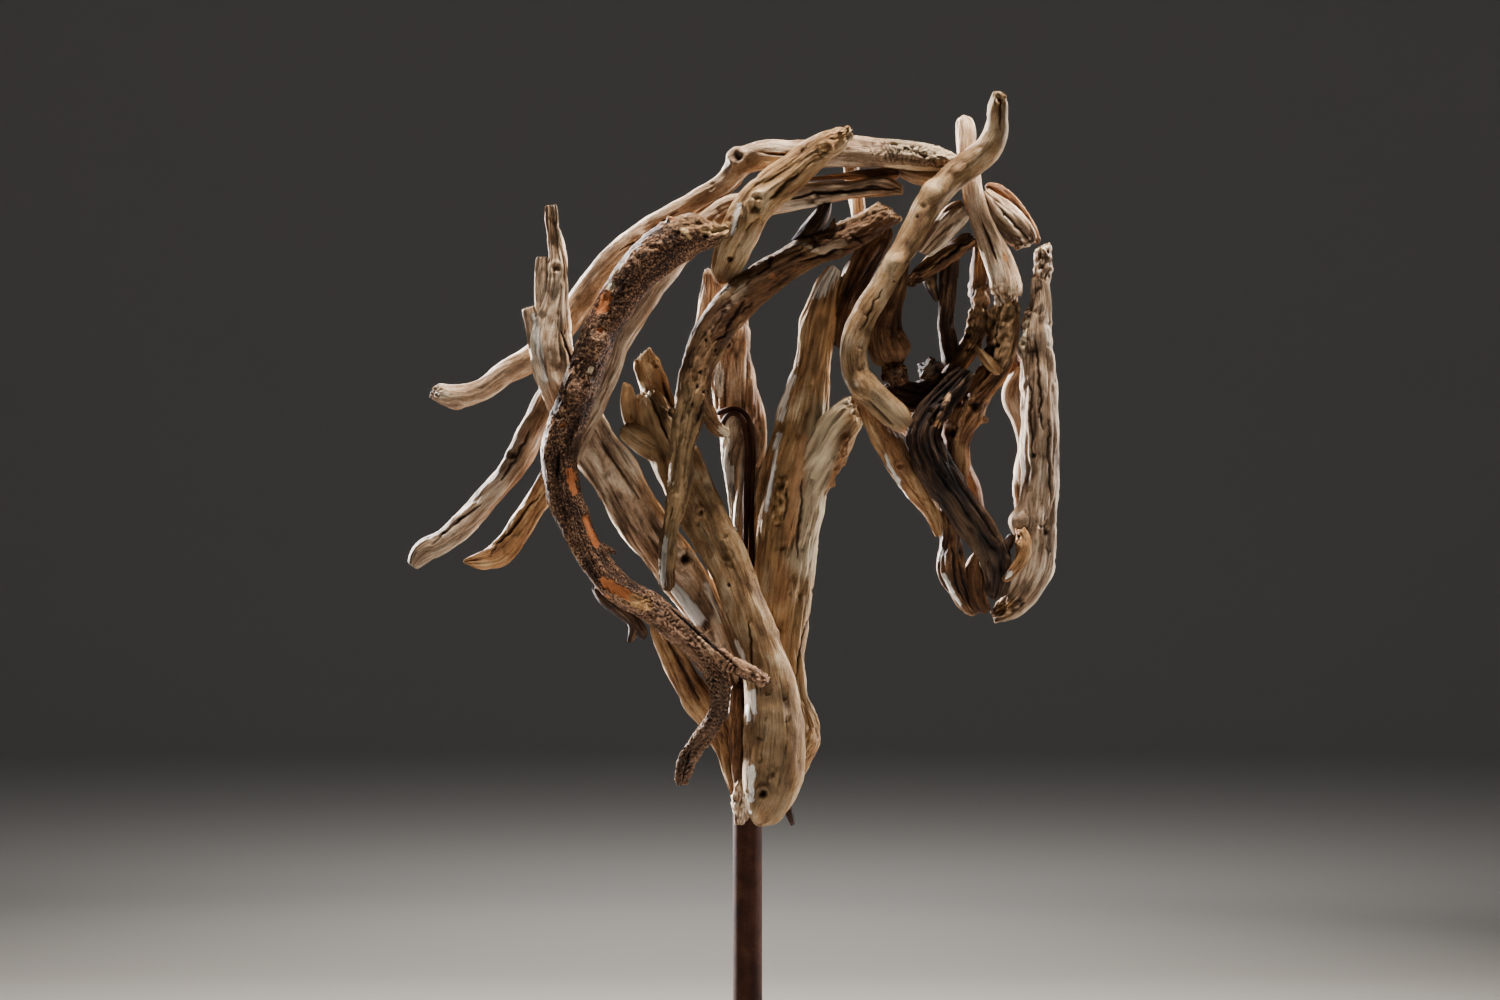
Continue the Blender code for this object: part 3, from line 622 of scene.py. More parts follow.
                bent = self.grain[:, 2] / 0.0064 + 1.6 * self.wavy(0.012, 0.02, 34)
                ring = np.sin(2 * math.pi * bent) * ease(1.2, 0.8, away) * (0.6 + self.wavy(0.01, 0.02, 39))
                self.rise += 0.0022 * ring
                # The ring troughs take more cavity and the crests less, so the rings are coloured darker and
                # lighter: painted shade and painted highlight.
                self.cavity -= 0.8 * ring
            else:
                # Stains, the painted rim light among them, and bare patches: colour with a ragged edge.
                drawn = 0.030 if kind == "stain_and_highlight" else 0.009
                ragged = 0.85 if kind == "stain_and_highlight" else 0.45
                edge = ragged * (self.wavy(0.0045, drawn, 31) + 0.5 * self.wavy(0.0024, drawn / 2, 32))
                mask = self.facing * ease(1.1, 0.9, away + edge)
                self.paint(mask, tone)
                if kind == "bare":
                    self.rise -= 0.0014 * mask
                    self.smooth = np.maximum(self.smooth, mask)

    def weather(self, ridge, checks):
        """Soft waves all over, ridges along the grain, and open checks where the wood has dried."""
        scale = min(1.5, self.half / 0.018)
        hard = (1 - self.smooth) * ridge
        broad = self.wavy(0.030, 0.055, 5) + 0.5 * self.wavy(0.013, 0.024, 15)
        lobes = np.abs(self.wavy(0.013, 0.11, 16))
        edges = 0.32 - np.abs(self.wavy(0.017, 0.085, 17))
        fibres = np.abs(self.wavy(0.0050, 0.045, 6))
        rise = 0.0023 * scale * broad + hard * (0.0040 * scale * (lobes - 0.30) + 0.0036 * scale * edges
                                                + 0.0026 * (fibres - 0.22))
        dents = ease(0.42, 0.60, noise(self.points / 0.016, self.seed + 18))
        self.rise += rise - 0.0014 * scale * dents
        self.cavity += hard * (0.30 * ease(0.07, 0.0, lobes) + 0.20 * ease(0.08, 0.0, fibres))
        # Raised parts get less cavity and so a lighter colour: sun-bleached wear and a painted highlight on
        # the ridges.
        self.cavity -= 0.5 * np.clip(rise / 0.003, -0.6, 1.0)
        hard = 1 - self.smooth
        split = np.abs(self.wavy(0.016, 0.20, 8) + 0.08 * self.wavy(0.004, 0.03, 9))
        patch = ease(0.0, 0.3, self.wavy(0.03, 0.09, 10))
        open_check = ease(0.040, 0.005, split) * patch * hard
        self.rise -= checks * 0.0034 * scale * open_check
        self.cavity += checks * 0.5 * open_check

    def shed(self, amount, under):
        """Bark in ragged plates, gone in places, where the wood under it shows."""
        plates = self.wavy(0.016, 0.030, 11) + 0.5 * self.wavy(0.006, 0.011, 12)
        gone = ease(amount, amount - 0.08, plates)
        fibre = self.wavy(0.0042, 0.0065, 13) + 0.8 * self.wavy(0.0024, 0.0032, 14)
        kept = (1 - gone) * (1 - self.smooth)
        self.rise += kept * (0.0012 + 0.0013 * fibre) - 0.0012
        self.cavity += (kept * 0.35 * np.clip(-fibre, 0, 1)
                        + 0.5 * gone * ease(amount - 0.16, amount - 0.04, plates))
        self.paint(gone * (1 - self.tint[:, 3]), under)

    def blend_into(self, other):
        """Swells where it meets another stem, so that the two look grown together."""
        apart = other.outside(self.points)
        self.rise += FILLET / 4 * np.clip(1 - np.abs(apart) / FILLET, 0, 1) ** 2

    def finish(self, bar):
        moved = self.points + self.normal * (self.rise * self.skin)[:, None]
        moved = np.clip(moved, np.array(cad_box[0]), np.array(cad_box[1]))
        bar.data.vertices.foreach_set("co", moved.ravel())
        worked = (self.grain, np.clip(self.cavity, -1, 1), np.clip(self.tint, 0, 1), self.torn)
        for (name, kind, field, _), values in zip(CARRIED, worked):
            keep_values(bar, name, kind, field, values)
        bar.data.update()


def grow_together(piece, limb):
    """Joins a limb to its stem, and evens out the seam between them."""
    corners = np.vstack([corners_of(o) for o in (piece, limb)])
    carried = [np.vstack([read_values(o, name, field, width) for o in (piece, limb)])
               for name, _, field, width in CARRIED]
    tree = KDTree(len(corners))
    for i, corner in enumerate(corners):
        tree.insert(corner, i)
    tree.balance()
    union = piece.modifiers.new("Grown together", "BOOLEAN")
    union.operation = "UNION"
    union.solver = "EXACT"
    union.object = limb
    apply_modifiers(piece)
    bpy.data.objects.remove(limb)
    found = [tree.find(corner) for corner in corners_of(piece)]
    index = np.array([hit[1] for hit in found])
    fresh = np.array([hit[2] for hit in found]) > SEAM_REACH
    for (name, kind, field, _), values in zip(CARRIED, carried):
        if name in piece.data.attributes:
            piece.data.attributes.remove(piece.data.attributes[name])
        keep_values(piece, name, kind, field, values[index])
    bpy.ops.object.mode_set(mode="EDIT")
    bpy.ops.mesh.select_mode(type="VERT")
    bpy.ops.mesh.select_all(action="DESELECT")
    bpy.ops.object.mode_set(mode="OBJECT")
    piece.data.vertices.foreach_set("select", fresh)
    bpy.ops.object.mode_set(mode="EDIT")
    bpy.ops.mesh.select_more()
    bpy.ops.mesh.vertices_smooth(factor=0.5, repeat=3)
    bpy.ops.object.mode_set(mode="OBJECT")


def driftwood(name, tones, seed, shade=1.0, speckle=0.0, ruddiness=0.35, furred=False, mottled=False):
    """Weathered wood: fibres and bands along the grain, stains and painted rim light, checks and pits
    darkened by dirt and painted shade, and what the carving marked. Furred is the short rough fibre of bark,
    and mottled is a worn skin with clouds and few bands."""
    deep, body, bleached = (tuple(shade * v for v in tone) for tone in tones)
    made, tree, shader = new_material(name)
    grain = node(tree, "ShaderNodeAttribute", {"attribute_name": "grain"}).outputs["Vector"]
    cavity = node(tree, "ShaderNodeAttribute", {"attribute_name": "cavity"}).outputs["Fac"]
    tint = node(tree, "ShaderNodeAttribute", {"attribute_name": "tint"})

    def math_node(operation, first, second, third=0.0):
        return node(tree, "ShaderNodeMath", {"operation": operation},
                    _0=first, _1=second, _2=third).outputs[0]

    def drawn_out(across, along, detail, offset, roughness=0.62):
        moved = node(tree, "ShaderNodeMapping", Vector=grain, Location=(seed, offset, 0.0),
                     Scale=(across, across, along))
        return node(tree, "ShaderNodeTexNoise", Vector=moved.outputs[0], Scale=1.0, Detail=detail,
                    Roughness=roughness).outputs["Fac"]

    def ranged(value, low, high, at_low, at_high):
        return node(tree, "ShaderNodeMapRange", _0=value, _1=low, _2=high, _3=at_low, _4=at_high).outputs[0]

    def scaled(colour, by):
        return node(tree, "ShaderNodeVectorMath", {"operation": "SCALE"}, _0=colour, _3=by).outputs[0]

    def blended(share, first, second):
        return node(tree, "ShaderNodeMix", {"data_type": "RGBA"}, _0=share, _6=first, _7=second).outputs[2]

    torn = node(tree, "ShaderNodeAttribute", {"attribute_name": "torn"}).outputs["Fac"]
    crumbled = node(tree, "ShaderNodeMapping", Vector=grain, Scale=(230.0, 230.0, 120.0))
    crumbs = node(tree, "ShaderNodeTexVoronoi", Vector=crumbled.outputs[0], Scale=1.0).outputs["Distance"]
    crumbs = math_node("MULTIPLY", math_node("SUBTRACT", crumbs, 0.4), torn)
    fibres = drawn_out(430.0, 300.0, 5.0, 1.0) if furred else drawn_out(400.0, 24.0, 6.0, 1.0, 0.80)
    fleck = drawn_out(520.0, 260.0, 3.0, 9.0, 0.80)
    bands = drawn_out(80.0, 3.5, 4.0, 2.0)
    cloud = drawn_out(48.0, 26.0, 7.0, 3.0, 0.68) if mottled else drawn_out(26.0, 14.0, 6.0, 3.0)
    weights = (0.78, 0.04, 0.10) if furred else (0.28, 0.10, 0.50) if mottled else (0.38, 0.20, 0.32)
    tone = math_node("MULTIPLY", fibres, weights[0])
    tone = math_node("MULTIPLY_ADD", bands, weights[1], tone)
    tone = math_node("MULTIPLY_ADD", cloud, weights[2], tone)
    tone = math_node("MULTIPLY_ADD", fleck, FLECK_SHARE, tone)
    # Deeper cavity gives a darker tone and raised parts a lighter one: dirt and wear, with painted shade and
    # painted highlight.
    tone = math_node("MULTIPLY_ADD", cavity, -0.13, tone)
    tone = math_node("MULTIPLY_ADD", crumbs, -0.35, tone)
    colour = colour_ramp(tree, tone, [(0.38, deep), (0.51, body), (0.63, bleached)])
    ruddy = ranged(drawn_out(38.0, 6.0, 3.0, 6.0), 0.42, 0.68, 0.0, ruddiness)
    redder = node(tree, "ShaderNodeMix", {"data_type": "RGBA", "blend_type": "MULTIPLY"},
                  _0=1.0, _6=colour, _7=(0.92, 0.70, 0.52, 1.0)).outputs[2]
    colour = blended(ruddy, colour, redder)
    line = math_node("ABSOLUTE", math_node("SUBTRACT", drawn_out(130.0, 3.0, 4.0, 4.0), 0.5), 0.0)
    hair = math_node("ABSOLUTE", math_node("SUBTRACT", drawn_out(250.0, 7.0, 4.0, 7.0), 0.5), 0.0)
    dried = ranged(drawn_out(30.0, 8.0, 2.0, 8.0), 0.44, 0.58, 0.0, 1.0)
    check = math_node("MAXIMUM", ranged(line, 0.001, 0.007, 0.10, 1.0), math_node("SUBTRACT", 1.0, dried))
    check = math_node("MULTIPLY", check, ranged(hair, 0.0, 0.016, 0.62, 1.0))
    pit = ranged(drawn_out(360.0, 240.0, 2.0, 5.0), 0.28, 0.36, 1.0 - speckle, 1.0)
    dimmed = math_node("MULTIPLY", check, pit)
    # The tint colour: real stains, and painted rim light where it is white.
    stain_and_highlight_colour = scaled(tint.outputs["Color"], math_node("MULTIPLY_ADD", tone, 1.8, 0.10))
    mixed = scaled(blended(tint.outputs["Alpha"], colour, stain_and_highlight_colour), dimmed)
    # Cavity darkens the colour towards near black in cracks, holes and hollows: dirt in them and painted
    # shade.
    gloom = (*(0.30 * v for v in deep), 1.0)
    sunk = blended(ranged(cavity, 0.06, 1.0, 0.0, 0.94), mixed, gloom)
    tree.links.new(sunk, shader.inputs["Base Color"])
    height = math_node("MULTIPLY_ADD", fibres, 0.80, math_node("MULTIPLY", dimmed, 0.55))
    height = math_node("MULTIPLY_ADD", fleck, 0.25, height)
    height = math_node("MULTIPLY_ADD", crumbs, -0.9, height)
    relief = node(tree, "ShaderNodeBump", Strength=1.0, Distance=0.0030, Height=height)
    tree.links.new(relief.outputs[0], shader.inputs["Normal"])
    tree.links.new(ranged(bands, 0.3, 0.7, 0.92, 0.66), shader.inputs["Roughness"])
    shader.inputs["Specular IOR Level"].default_value = 0.20
    return made


stick_count = 0


def stick(name, finish, rows, *limbs, flat=0.9, square=1.0, marks=(), ends=("broken", "broken"), ridge=1.0,
          checks=0.6, twist=0.04, coarse=1.0, shade=1.0, speckle=0.0, ruddiness=0.35, mottled=False,
          shed=None, tones=None):
    """One piece of wood with all that has grown together with it, in the place of its solid. A row is across,
    down and near on the drawing, and a half width. Flat and square shape its section, and below 1 the section
    is thinner and boxier. Ridge and checks say how deeply it is weathered. Shed is how much of its bark has
    gone and what shows under it. Tones are the colours of another finish than the one given."""
    global stick_count
    stick_count += 1
    stems = [Stem(stem_rows, flat) for stem_rows in (rows, *limbs)]
    bars = []
    for n, stem in enumerate(stems):
        spacing = SPACING * coarse
        sides = max(16, 4 * round(2 * math.pi * stem.halves.max() * (0.6 + 0.4 * flat) / spacing / 4))
        rings = max(6, math.ceil(stem.length / (1.25 * spacing)))
        bar = blank(f"{name}_wood" if n == 0 else f"{name}_limb_{n}", sides, rings)
        skin = Surface(stem, bar, ends if n == 0 else ("cut", ends[1]), square, twist, 17 * stick_count + n)
        skin.bend_grain(marks)
        skin.work(marks)
        if shed:
            skin.shed(*shed)
        skin.weather(ridge, checks)
        for other in stems:
            if other is not stem:
                skin.blend_into(other)
        skin.finish(bar)
        bars.append(bar)
    piece = bars[0]
    for limb in bars[1:]:
        bpy.ops.object.select_all(action="DESELECT")
        piece.select_set(True)
        bpy.context.view_layer.objects.active = piece
        grow_together(piece, limb)
    bpy.context.view_layer.objects.active = piece
    bpy.ops.object.mode_set(mode="EDIT")
    bpy.ops.mesh.select_all(action="SELECT")
    bpy.ops.mesh.normals_make_consistent(inside=False)
    bpy.ops.object.mode_set(mode="OBJECT")
    piece.select_set(True)
    bpy.ops.object.shade_smooth()
    wood = driftwood(f"{name}_grain", WOODS[tones or finish], 3.1 * stick_count, shade, speckle, ruddiness,
                     furred=finish == "bark", mottled=mottled)
    stands_for(piece, name, wood)
    return piece


stick("front_log", "pale",
      [(757, 826, 30, 12), (766, 805, 32, 23), (772, 773, 33, 31), (774, 735, 33, 32), (770, 692, 33, 27),
       (760, 650, 33, 22.5), (748, 615, 32, 21.5), (733, 575, 27, 21), (714, 535, 21, 22),
       (695, 498, 14, 24), (676, 458, 8, 24), (662, 430, 6, 20), (653, 408, 5, 17), (645, 389, 4, 10)],
      [(680, 455, 4, 14), (664, 410, -6, 14), (652, 378, -12, 14), (641, 351, -16, 11)],
      [(660, 450, 8, 14), (639, 437, 10, 13), (621, 427, 12, 8.5)],
      [(646, 444, 2, 8), (633, 422, 0, 9), (628, 402, -1, 8.5), (627, 382, -2, 4)],
      mottled=True, flat=0.75, ridge=0.2, checks=0.15, shade=0.63, ruddiness=0.1, ends=("worn", "broken"),
      marks=[hole(763, 793, 3.0), knot(763, 793, 6), rough(770, 775, 6), bump(779, 632, 6),
             knot(701, 512, 4), hole(729, 585, 1.6), wash(775, 700, 16, srgb(118, 94, 66), to=(772, 800)),
             # The white streaks down the log's left-facing facets are painted rim light.
             stain_and_highlight(752, 768, 3, RIM_LIGHT_WHITE, to=(751, 800)), stain_and_highlight(751, 812, 2, RIM_LIGHT_WHITE),
             stain_and_highlight(753, 692, 3, RIM_LIGHT_WHITE, to=(754, 712)), stain_and_highlight(747, 706, 2, RIM_LIGHT_WHITE, to=(748, 720)),
             stain_and_highlight(737, 642, 2.5, RIM_LIGHT_WHITE, to=(744, 660)), crack(747, 620, 1.3, to=(756, 690)),
             rough(655, 362, 6), rough(668, 412, 5), crack(650, 396, 1.8, to=(668, 440)),
             # The wash at the fork is its tan, made paler still as painted light where the fork lies in
             # shade.
             crack(662, 380, 1.6, to=(676, 425)), wash(636, 400, 18, srgb(186, 146, 102), to=(655, 440)),
             stain_and_highlight(641, 386, 5, CHIP, to=(644, 398))])
stick("throat_log", "pale",
      [(779, 792, -8, 8), (786, 766, -9, 19), (792, 738, -10, 26), (786, 700, -11, 21),
       (780, 650, -12, 24), (782, 600, -12, 28), (785, 555, -12, 30), (790, 510, -12, 33),
       (796, 465, -11, 33), (803, 425, -9, 27), (809, 385, -7, 19.5), (815, 350, -6, 16.5),
       (820, 318, -6, 17), (826, 292, -5, 12.5), (836, 266, -4, 5)],
      [(806, 490, -6, 20), (823, 458, 2, 21), (836, 432, 9, 20), (849, 415, 15, 17), (861, 405, 20, 13)],
      flat=0.7, square=0.8, ridge=0.8, checks=0.5, shade=0.80, ruddiness=0.6,
      marks=[wash(828, 410, 22, srgb(192, 172, 138), to=(804, 560)),
             wash(838, 480, 8, srgb(140, 92, 56), to=(815, 620)),
             wash(800, 440, 8, srgb(150, 98, 58), to=(790, 540)),
             wash(776, 560, 9, srgb(146, 100, 62), to=(800, 680)),
             wash(790, 430, 10, srgb(160, 118, 72), to=(768, 560)),
             wash(790, 620, 18, srgb(150, 118, 80), to=(790, 740)),
             # The white streaks down its left side are painted rim light.
             stain_and_highlight(793, 376, 2.5, RIM_LIGHT_WHITE, to=(780, 420)), stain_and_highlight(778, 434, 2.5, RIM_LIGHT_WHITE, to=(767, 510)),
             crack(787, 488, 1.5, to=(783, 520)), crack(803, 478, 1.4, to=(796, 560)),
             crack(812, 600, 1.3, to=(790, 700)), rough(780, 480, 6, to=(778, 520)),
             rough(846, 436, 4, to=(828, 520)), wash(846, 436, 5, srgb(140, 88, 50), to=(828, 520)),
             # The white at its split top is painted rim light on the lit splinter.
             bump(810, 742, 12), stain_and_highlight(820, 292, 7, RIM_LIGHT_WHITE, to=(834, 270)),
             wash(834, 312, 17, srgb(206, 158, 108), to=(824, 384)),
             stain_and_highlight(838, 402, 7, CHIP, to=(852, 400))])
stick("centre_post", "silver",
      [(709, 268, -34, 6), (715, 285, -36, 15), (722, 315, -38, 23), (727, 350, -39, 24),
       (733, 382, -39, 22), (739, 412, -38, 23), (743, 440, -37, 23), (742, 462, -36, 22),
       (744, 492, -34, 16), (745, 522, -33, 13), (747, 552, -31, 11), (750, 600, -29, 10),
       (752, 660, -27, 9), (752, 720, -26, 8)],
      flat=0.7, ridge=1.3, checks=0.7, shade=0.95, twist=0.15, ends=("broken", "cut"),
      marks=[hole(728, 345, 3.0), knot(748, 430, 6), knot(724, 505, 4), hole(736, 528, 2.0),
             # The white streaks on its left face are painted rim light.
             stain_and_highlight(716, 345, 4, RIM_LIGHT_WHITE, to=(720, 395)), stain_and_highlight(724, 440, 5, RIM_LIGHT_WHITE, to=(734, 530)),
             wash(750, 400, 12, srgb(122, 86, 62), to=(752, 460))])

# The grey split plank
# A weathered plank that frost and sun have split into three tongues at its top. It is softwood gone silver,
# its grain standing up in ridges, and runs down behind the bark branch, where it is screwed to the logs.
stick("grey_plank", "silver",
      [(550, 205, 3, 5.5), (554, 235, 3, 7), (558, 262, 3, 8.5), (557, 290, 4, 11), (553, 318, 5, 16),
       (552, 345, 6, 20), (560, 378, 6, 21), (574, 408, 6, 22), (591, 441, 6, 23), (616, 478, 5, 23),
       (644, 524, 5, 23), (673, 562, 4, 22.5), (693, 592, 3, 21), (714, 628, 4, 17), (733, 672, 6, 12),
       (744, 712, 8, 7)],
      [(543, 257, 4, 5.5), (542, 278, 4, 7), (545, 305, 4, 10), (550, 335, 5, 12)],
      [(530, 307, 7, 7.5), (536, 330, 7, 10), (545, 362, 7, 12), (556, 392, 7, 13)],
      flat=0.38, square=0.6, checks=0.5, shade=1.45, ruddiness=0.0, ends=("cut", "broken"),
      marks=[hole(685, 558, 3.5), knot(685, 558, 8), knot(556, 268, 5),
             crack(560, 330, 1.5, to=(596, 430)), crack(600, 440, 1.4, to=(640, 500)),
             # The white streaks along its edges are painted rim light.
             stain_and_highlight(534, 316, 3, RIM_LIGHT_WHITE, to=(545, 380)), stain_and_highlight(706, 585, 3, RIM_LIGHT_WHITE, to=(720, 620)),
             crack(640, 520, 1.3, to=(672, 575))])

# The bark branch
# A long bow with its bark still on, short-fibred and nearly black, that divides below into a toe and a hoof.
# Where the bark has torn the wood is bright orange. It is the nearest branch, pegged to the logs at its foot.
stick("bark_branch", "bark",
      [(730, 228, 40, 2), (714, 234, 41, 11), (692, 234, 42, 21), (664, 247, 43, 23),
       (636, 274, 44, 21.5), (614, 308, 45, 19), (598, 338, 46, 18), (586, 370, 47, 18.5),
       (576, 402, 48, 18.5), (565, 432, 49, 18.5), (560, 460, 50, 17.5), (564, 492, 51, 17),
       (576, 525, 52, 16), (592, 556, 53, 14.5), (609, 579, 54, 15), (630, 596, 54, 15.5),
       (652, 609, 54, 14), (673, 627, 55, 13), (694, 646, 56, 12), (710, 663, 56, 11.5),
       (719, 684, 53, 10.5), (719, 706, 50, 9.5), (710, 728, 47, 8.5), (697, 745, 44, 8),
       (687, 760, 42, 8.5), (683, 774, 41, 7), (681, 786, 41, 3)],
      [(650, 600, 56, 6), (678, 619, 58, 6.5), (705, 643, 60, 6.5), (730, 663, 62, 7.5),
       (750, 673, 64, 8.5), (770, 684, 66, 5)],
      [(600, 546, 53, 4), (610, 550, 53, 2.5), (617, 553, 53, 1.5)],
      flat=0.85, ridge=0.4, checks=0.0, ruddiness=0.15, shed=(-0.95, ORANGE),
      marks=[bare(610, 286, 5, CHIP), bare(606, 296, 6.5, ORANGE, to=(601, 308)),
             bare(571, 472, 5, ORANGE, to=(575, 490)), bare(586, 518, 4, ORANGE, to=(597, 544)),
             bare(604, 582, 5, ORANGE, to=(630, 597)),
             bare(634, 600, 6, srgb(190, 144, 96), to=(646, 604)), bare(600, 330, 3, ORANGE),
             bare(563, 425, 3, ORANGE), stain_and_highlight(590, 370, 3.5, CHIP), crack(560, 452, 1.5, to=(556, 476)),
             rough(650, 214, 9, to=(724, 230)), wash(664, 214, 11, srgb(158, 120, 84), to=(724, 230)),
             bare(704, 232, 4, STRAW, to=(728, 229)), stain_and_highlight(672, 216, 2.5, ORANGE),
             stain_and_highlight(658, 224, 2.5, ORANGE), stain_and_highlight(683, 229, 3, STRAW, to=(690, 238)), hole(664, 222, 2.5),
             hole(676, 214, 2.2), hole(705, 236, 2.2), wrinkled(660, 612, 26, to=(712, 668)),
             wrinkled(719, 690, 18, to=(690, 770)), wrinkled(730, 662, 10, to=(768, 682)),
             wash(668, 622, 20, srgb(124, 92, 70), to=(712, 660)),
             wash(719, 690, 12, srgb(134, 102, 80), to=(686, 776)),
             wash(720, 655, 9, srgb(150, 112, 84), to=(770, 684)), rough(750, 674, 6, to=(768, 684)),
             crack(688, 750, 1.6, to=(683, 782)), hollow(690, 766, 4),
             crack(668, 606, 1.8, to=(738, 668)),
             stain_and_highlight(700, 636, 2.5, srgb(196, 158, 124), to=(712, 652)), bump(600, 342, 8),
             bump(578, 392, 8)])

# The mottled branch and the knotty branch
# Two branches that cross the neck from the poll: one still scaly with brown bark over cream wood, the other
# bare, grooved and knotted. Both are driftwood, lashed under the crest and screwed where they cross.
stick("mottled_branch", "tan",
      [(895, 208, 8, 13), (868, 226, 11, 15), (840, 240, 14, 16), (810, 252, 17, 16),
       (780, 270, 20, 16.5), (752, 290, 24, 18), (728, 312, 28, 19), (709, 341, 32, 18),
       (697, 370, 35, 15.5), (692, 400, 38, 16), (687, 425, 39, 14.5), (683, 450, 40, 12.5),
       (681, 475, 40, 12.5), (677, 500, 40, 11), (671, 525, 39, 8.5), (667, 550, 38, 8),
       (667, 575, 38, 8), (669, 592, 38, 7)],
      [(700, 396, 37, 10), (709, 416, 36, 8), (719, 430, 35, 7), (730, 434, 34, 3.5)],
      [(831, 240, 17, 5), (832, 228, 18, 3.5), (835, 218, 19, 1.2)],
      ridge=0.8, shade=0.50, speckle=0.5, ruddiness=0.6, ends=("broken", "worn"),
      shed=(-0.62, srgb(176, 144, 106)),
      marks=[bare(822, 250, 5, CREAM, to=(842, 244)), bare(735, 298, 5, CREAM, to=(744, 288)),
             bare(728, 306, 3, CREAM), stain_and_highlight(772, 276, 3, ORANGE),
             wash(880, 222, 14, WALNUT, to=(780, 262)), wash(712, 330, 18, WALNUT, to=(760, 290)),
             wash(702, 350, 14, srgb(172, 130, 92), to=(690, 400)),
             wash(690, 400, 16, srgb(176, 142, 100), to=(668, 560)),
             stain_and_highlight(896, 205, 8, srgb(176, 140, 104)), stain_and_highlight(806, 246, 3, CHIP, to=(816, 250)),
             rough(796, 254, 5, to=(842, 230)), hole(716, 350, 2.0), hole(700, 372, 1.8),
             hole(704, 392, 2.0), hole(692, 404, 1.6), hole(706, 340, 1.8), hole(697, 386, 1.5),
             crack(800, 262, 1.4, to=(850, 250)), crack(757, 276, 1.3, to=(775, 260)),
             crack(740, 314, 1.2, to=(754, 302)), crack(806, 230, 1.2, to=(820, 246)),
             crack(850, 234, 1.2, to=(866, 246)), crack(714, 340, 1.2, to=(730, 330)),
             crack(696, 420, 1.2, to=(704, 400)), crack(745, 300, 1.4, to=(725, 330)),
             # The white streak down its lower left edge is painted rim light.
             stain_and_highlight(722, 430, 5, CHIP, to=(730, 434)), stain_and_highlight(664, 540, 3, RIM_LIGHT_WHITE, to=(662, 590)),
             bump(676, 500, 6)])
stick("knotty_branch", "pale",
      [(851, 130, 22, 6), (840, 138, 24, 10), (825, 146, 25, 13.5), (811, 156, 26, 16),
       (790, 175, 27, 18), (772, 189, 28, 18.5), (757, 203, 28, 18), (746, 220, 28, 18.5),
       (737, 240, 27, 17.5), (729, 260, 24, 15.5), (719, 284, 19, 11)],
      flat=0.8, ridge=0.9, checks=0.5, shade=0.88, ruddiness=0.2, ends=("broken", "worn"),
      marks=[knot(755, 208, 7), knot(757, 198, 5), hole(730, 259, 3.0), bump(826, 142, 10),
             rough(846, 130, 9), rough(824, 150, 8), crack(800, 172, 1.5, to=(770, 200)),
             # The white streak down its left edge is painted rim light.
             wash(722, 280, 13, srgb(116, 80, 54)), stain_and_highlight(738, 204, 3, RIM_LIGHT_WHITE, to=(733, 232))])

# The crest
# Two long branches arch from the poll over the neck and end behind it as the top of the mane. They are pale,
# smooth driftwood, the upper one chipped near the poll, and are screwed to the branches that they cross.
stick("crest_branch", "pale",
      [(431, 391, 0, 8), (455, 397, -3, 12), (480, 390, -6, 11), (505, 373, -9, 12),
       (533, 358, -12, 12.5), (555, 336, -14, 13), (577, 307, -13, 13.5), (609, 261, -9, 12),
       (655, 225, -6, 10.5), (695, 201, -4, 9.5), (727, 179, -3, 10.5), (745, 160, -2, 13.5),
       (767, 154, -1, 14), (800, 155, 0, 14), (850, 152, 0, 16), (885, 153, 0, 15), (920, 157, 0, 14),
       (945, 163, 2, 10.5), (966, 170, 4, 8)],
      mottled=True, tones="silver", ridge=0.35, checks=0.35, shade=1.12, ruddiness=0.0,
      marks=[knot(737, 157, 7), bump(735, 156, 9), bump(456, 409, 7), rough(894, 145, 5, to=(946, 156)),
             wrinkled(880, 150, 11, to=(944, 158)), wash(894, 146, 9, CHIP, to=(946, 156)),
             stain_and_highlight(886, 166, 2.5, CHIP, to=(944, 170)), bump(800, 148, 8), knot(560, 332, 4),
             bump(640, 236, 7), crack(760, 152, 1.2, to=(830, 160)), crack(620, 250, 1.2, to=(680, 212)),
             rough(434, 390, 7)])
stick("under_crest_branch", "tan",
      [(904, 192, 4, 3), (892, 188, 4, 8), (850, 190, 5, 9), (800, 197, 7, 12.5), (765, 203, 8, 12.5),
       (727, 208, 10, 11.5), (702, 228, 12, 12), (680, 253, 14, 12), (656, 283, 16, 12),
       (638, 311, 18, 12), (619, 342, 20, 11.5), (609, 372, 22, 11), (597, 401, 24, 10.5),
       (582, 430, 25, 10.5), (570, 457, 26, 9.5), (566, 474, 27, 6)],
      tones="silver", flat=0.8, ridge=0.8, shade=1.12, ruddiness=0.0,
      marks=[crack(730, 206, 1.3, to=(880, 186)), crack(812, 193, 1.3, to=(900, 188)),
             rough(815, 200, 7)])

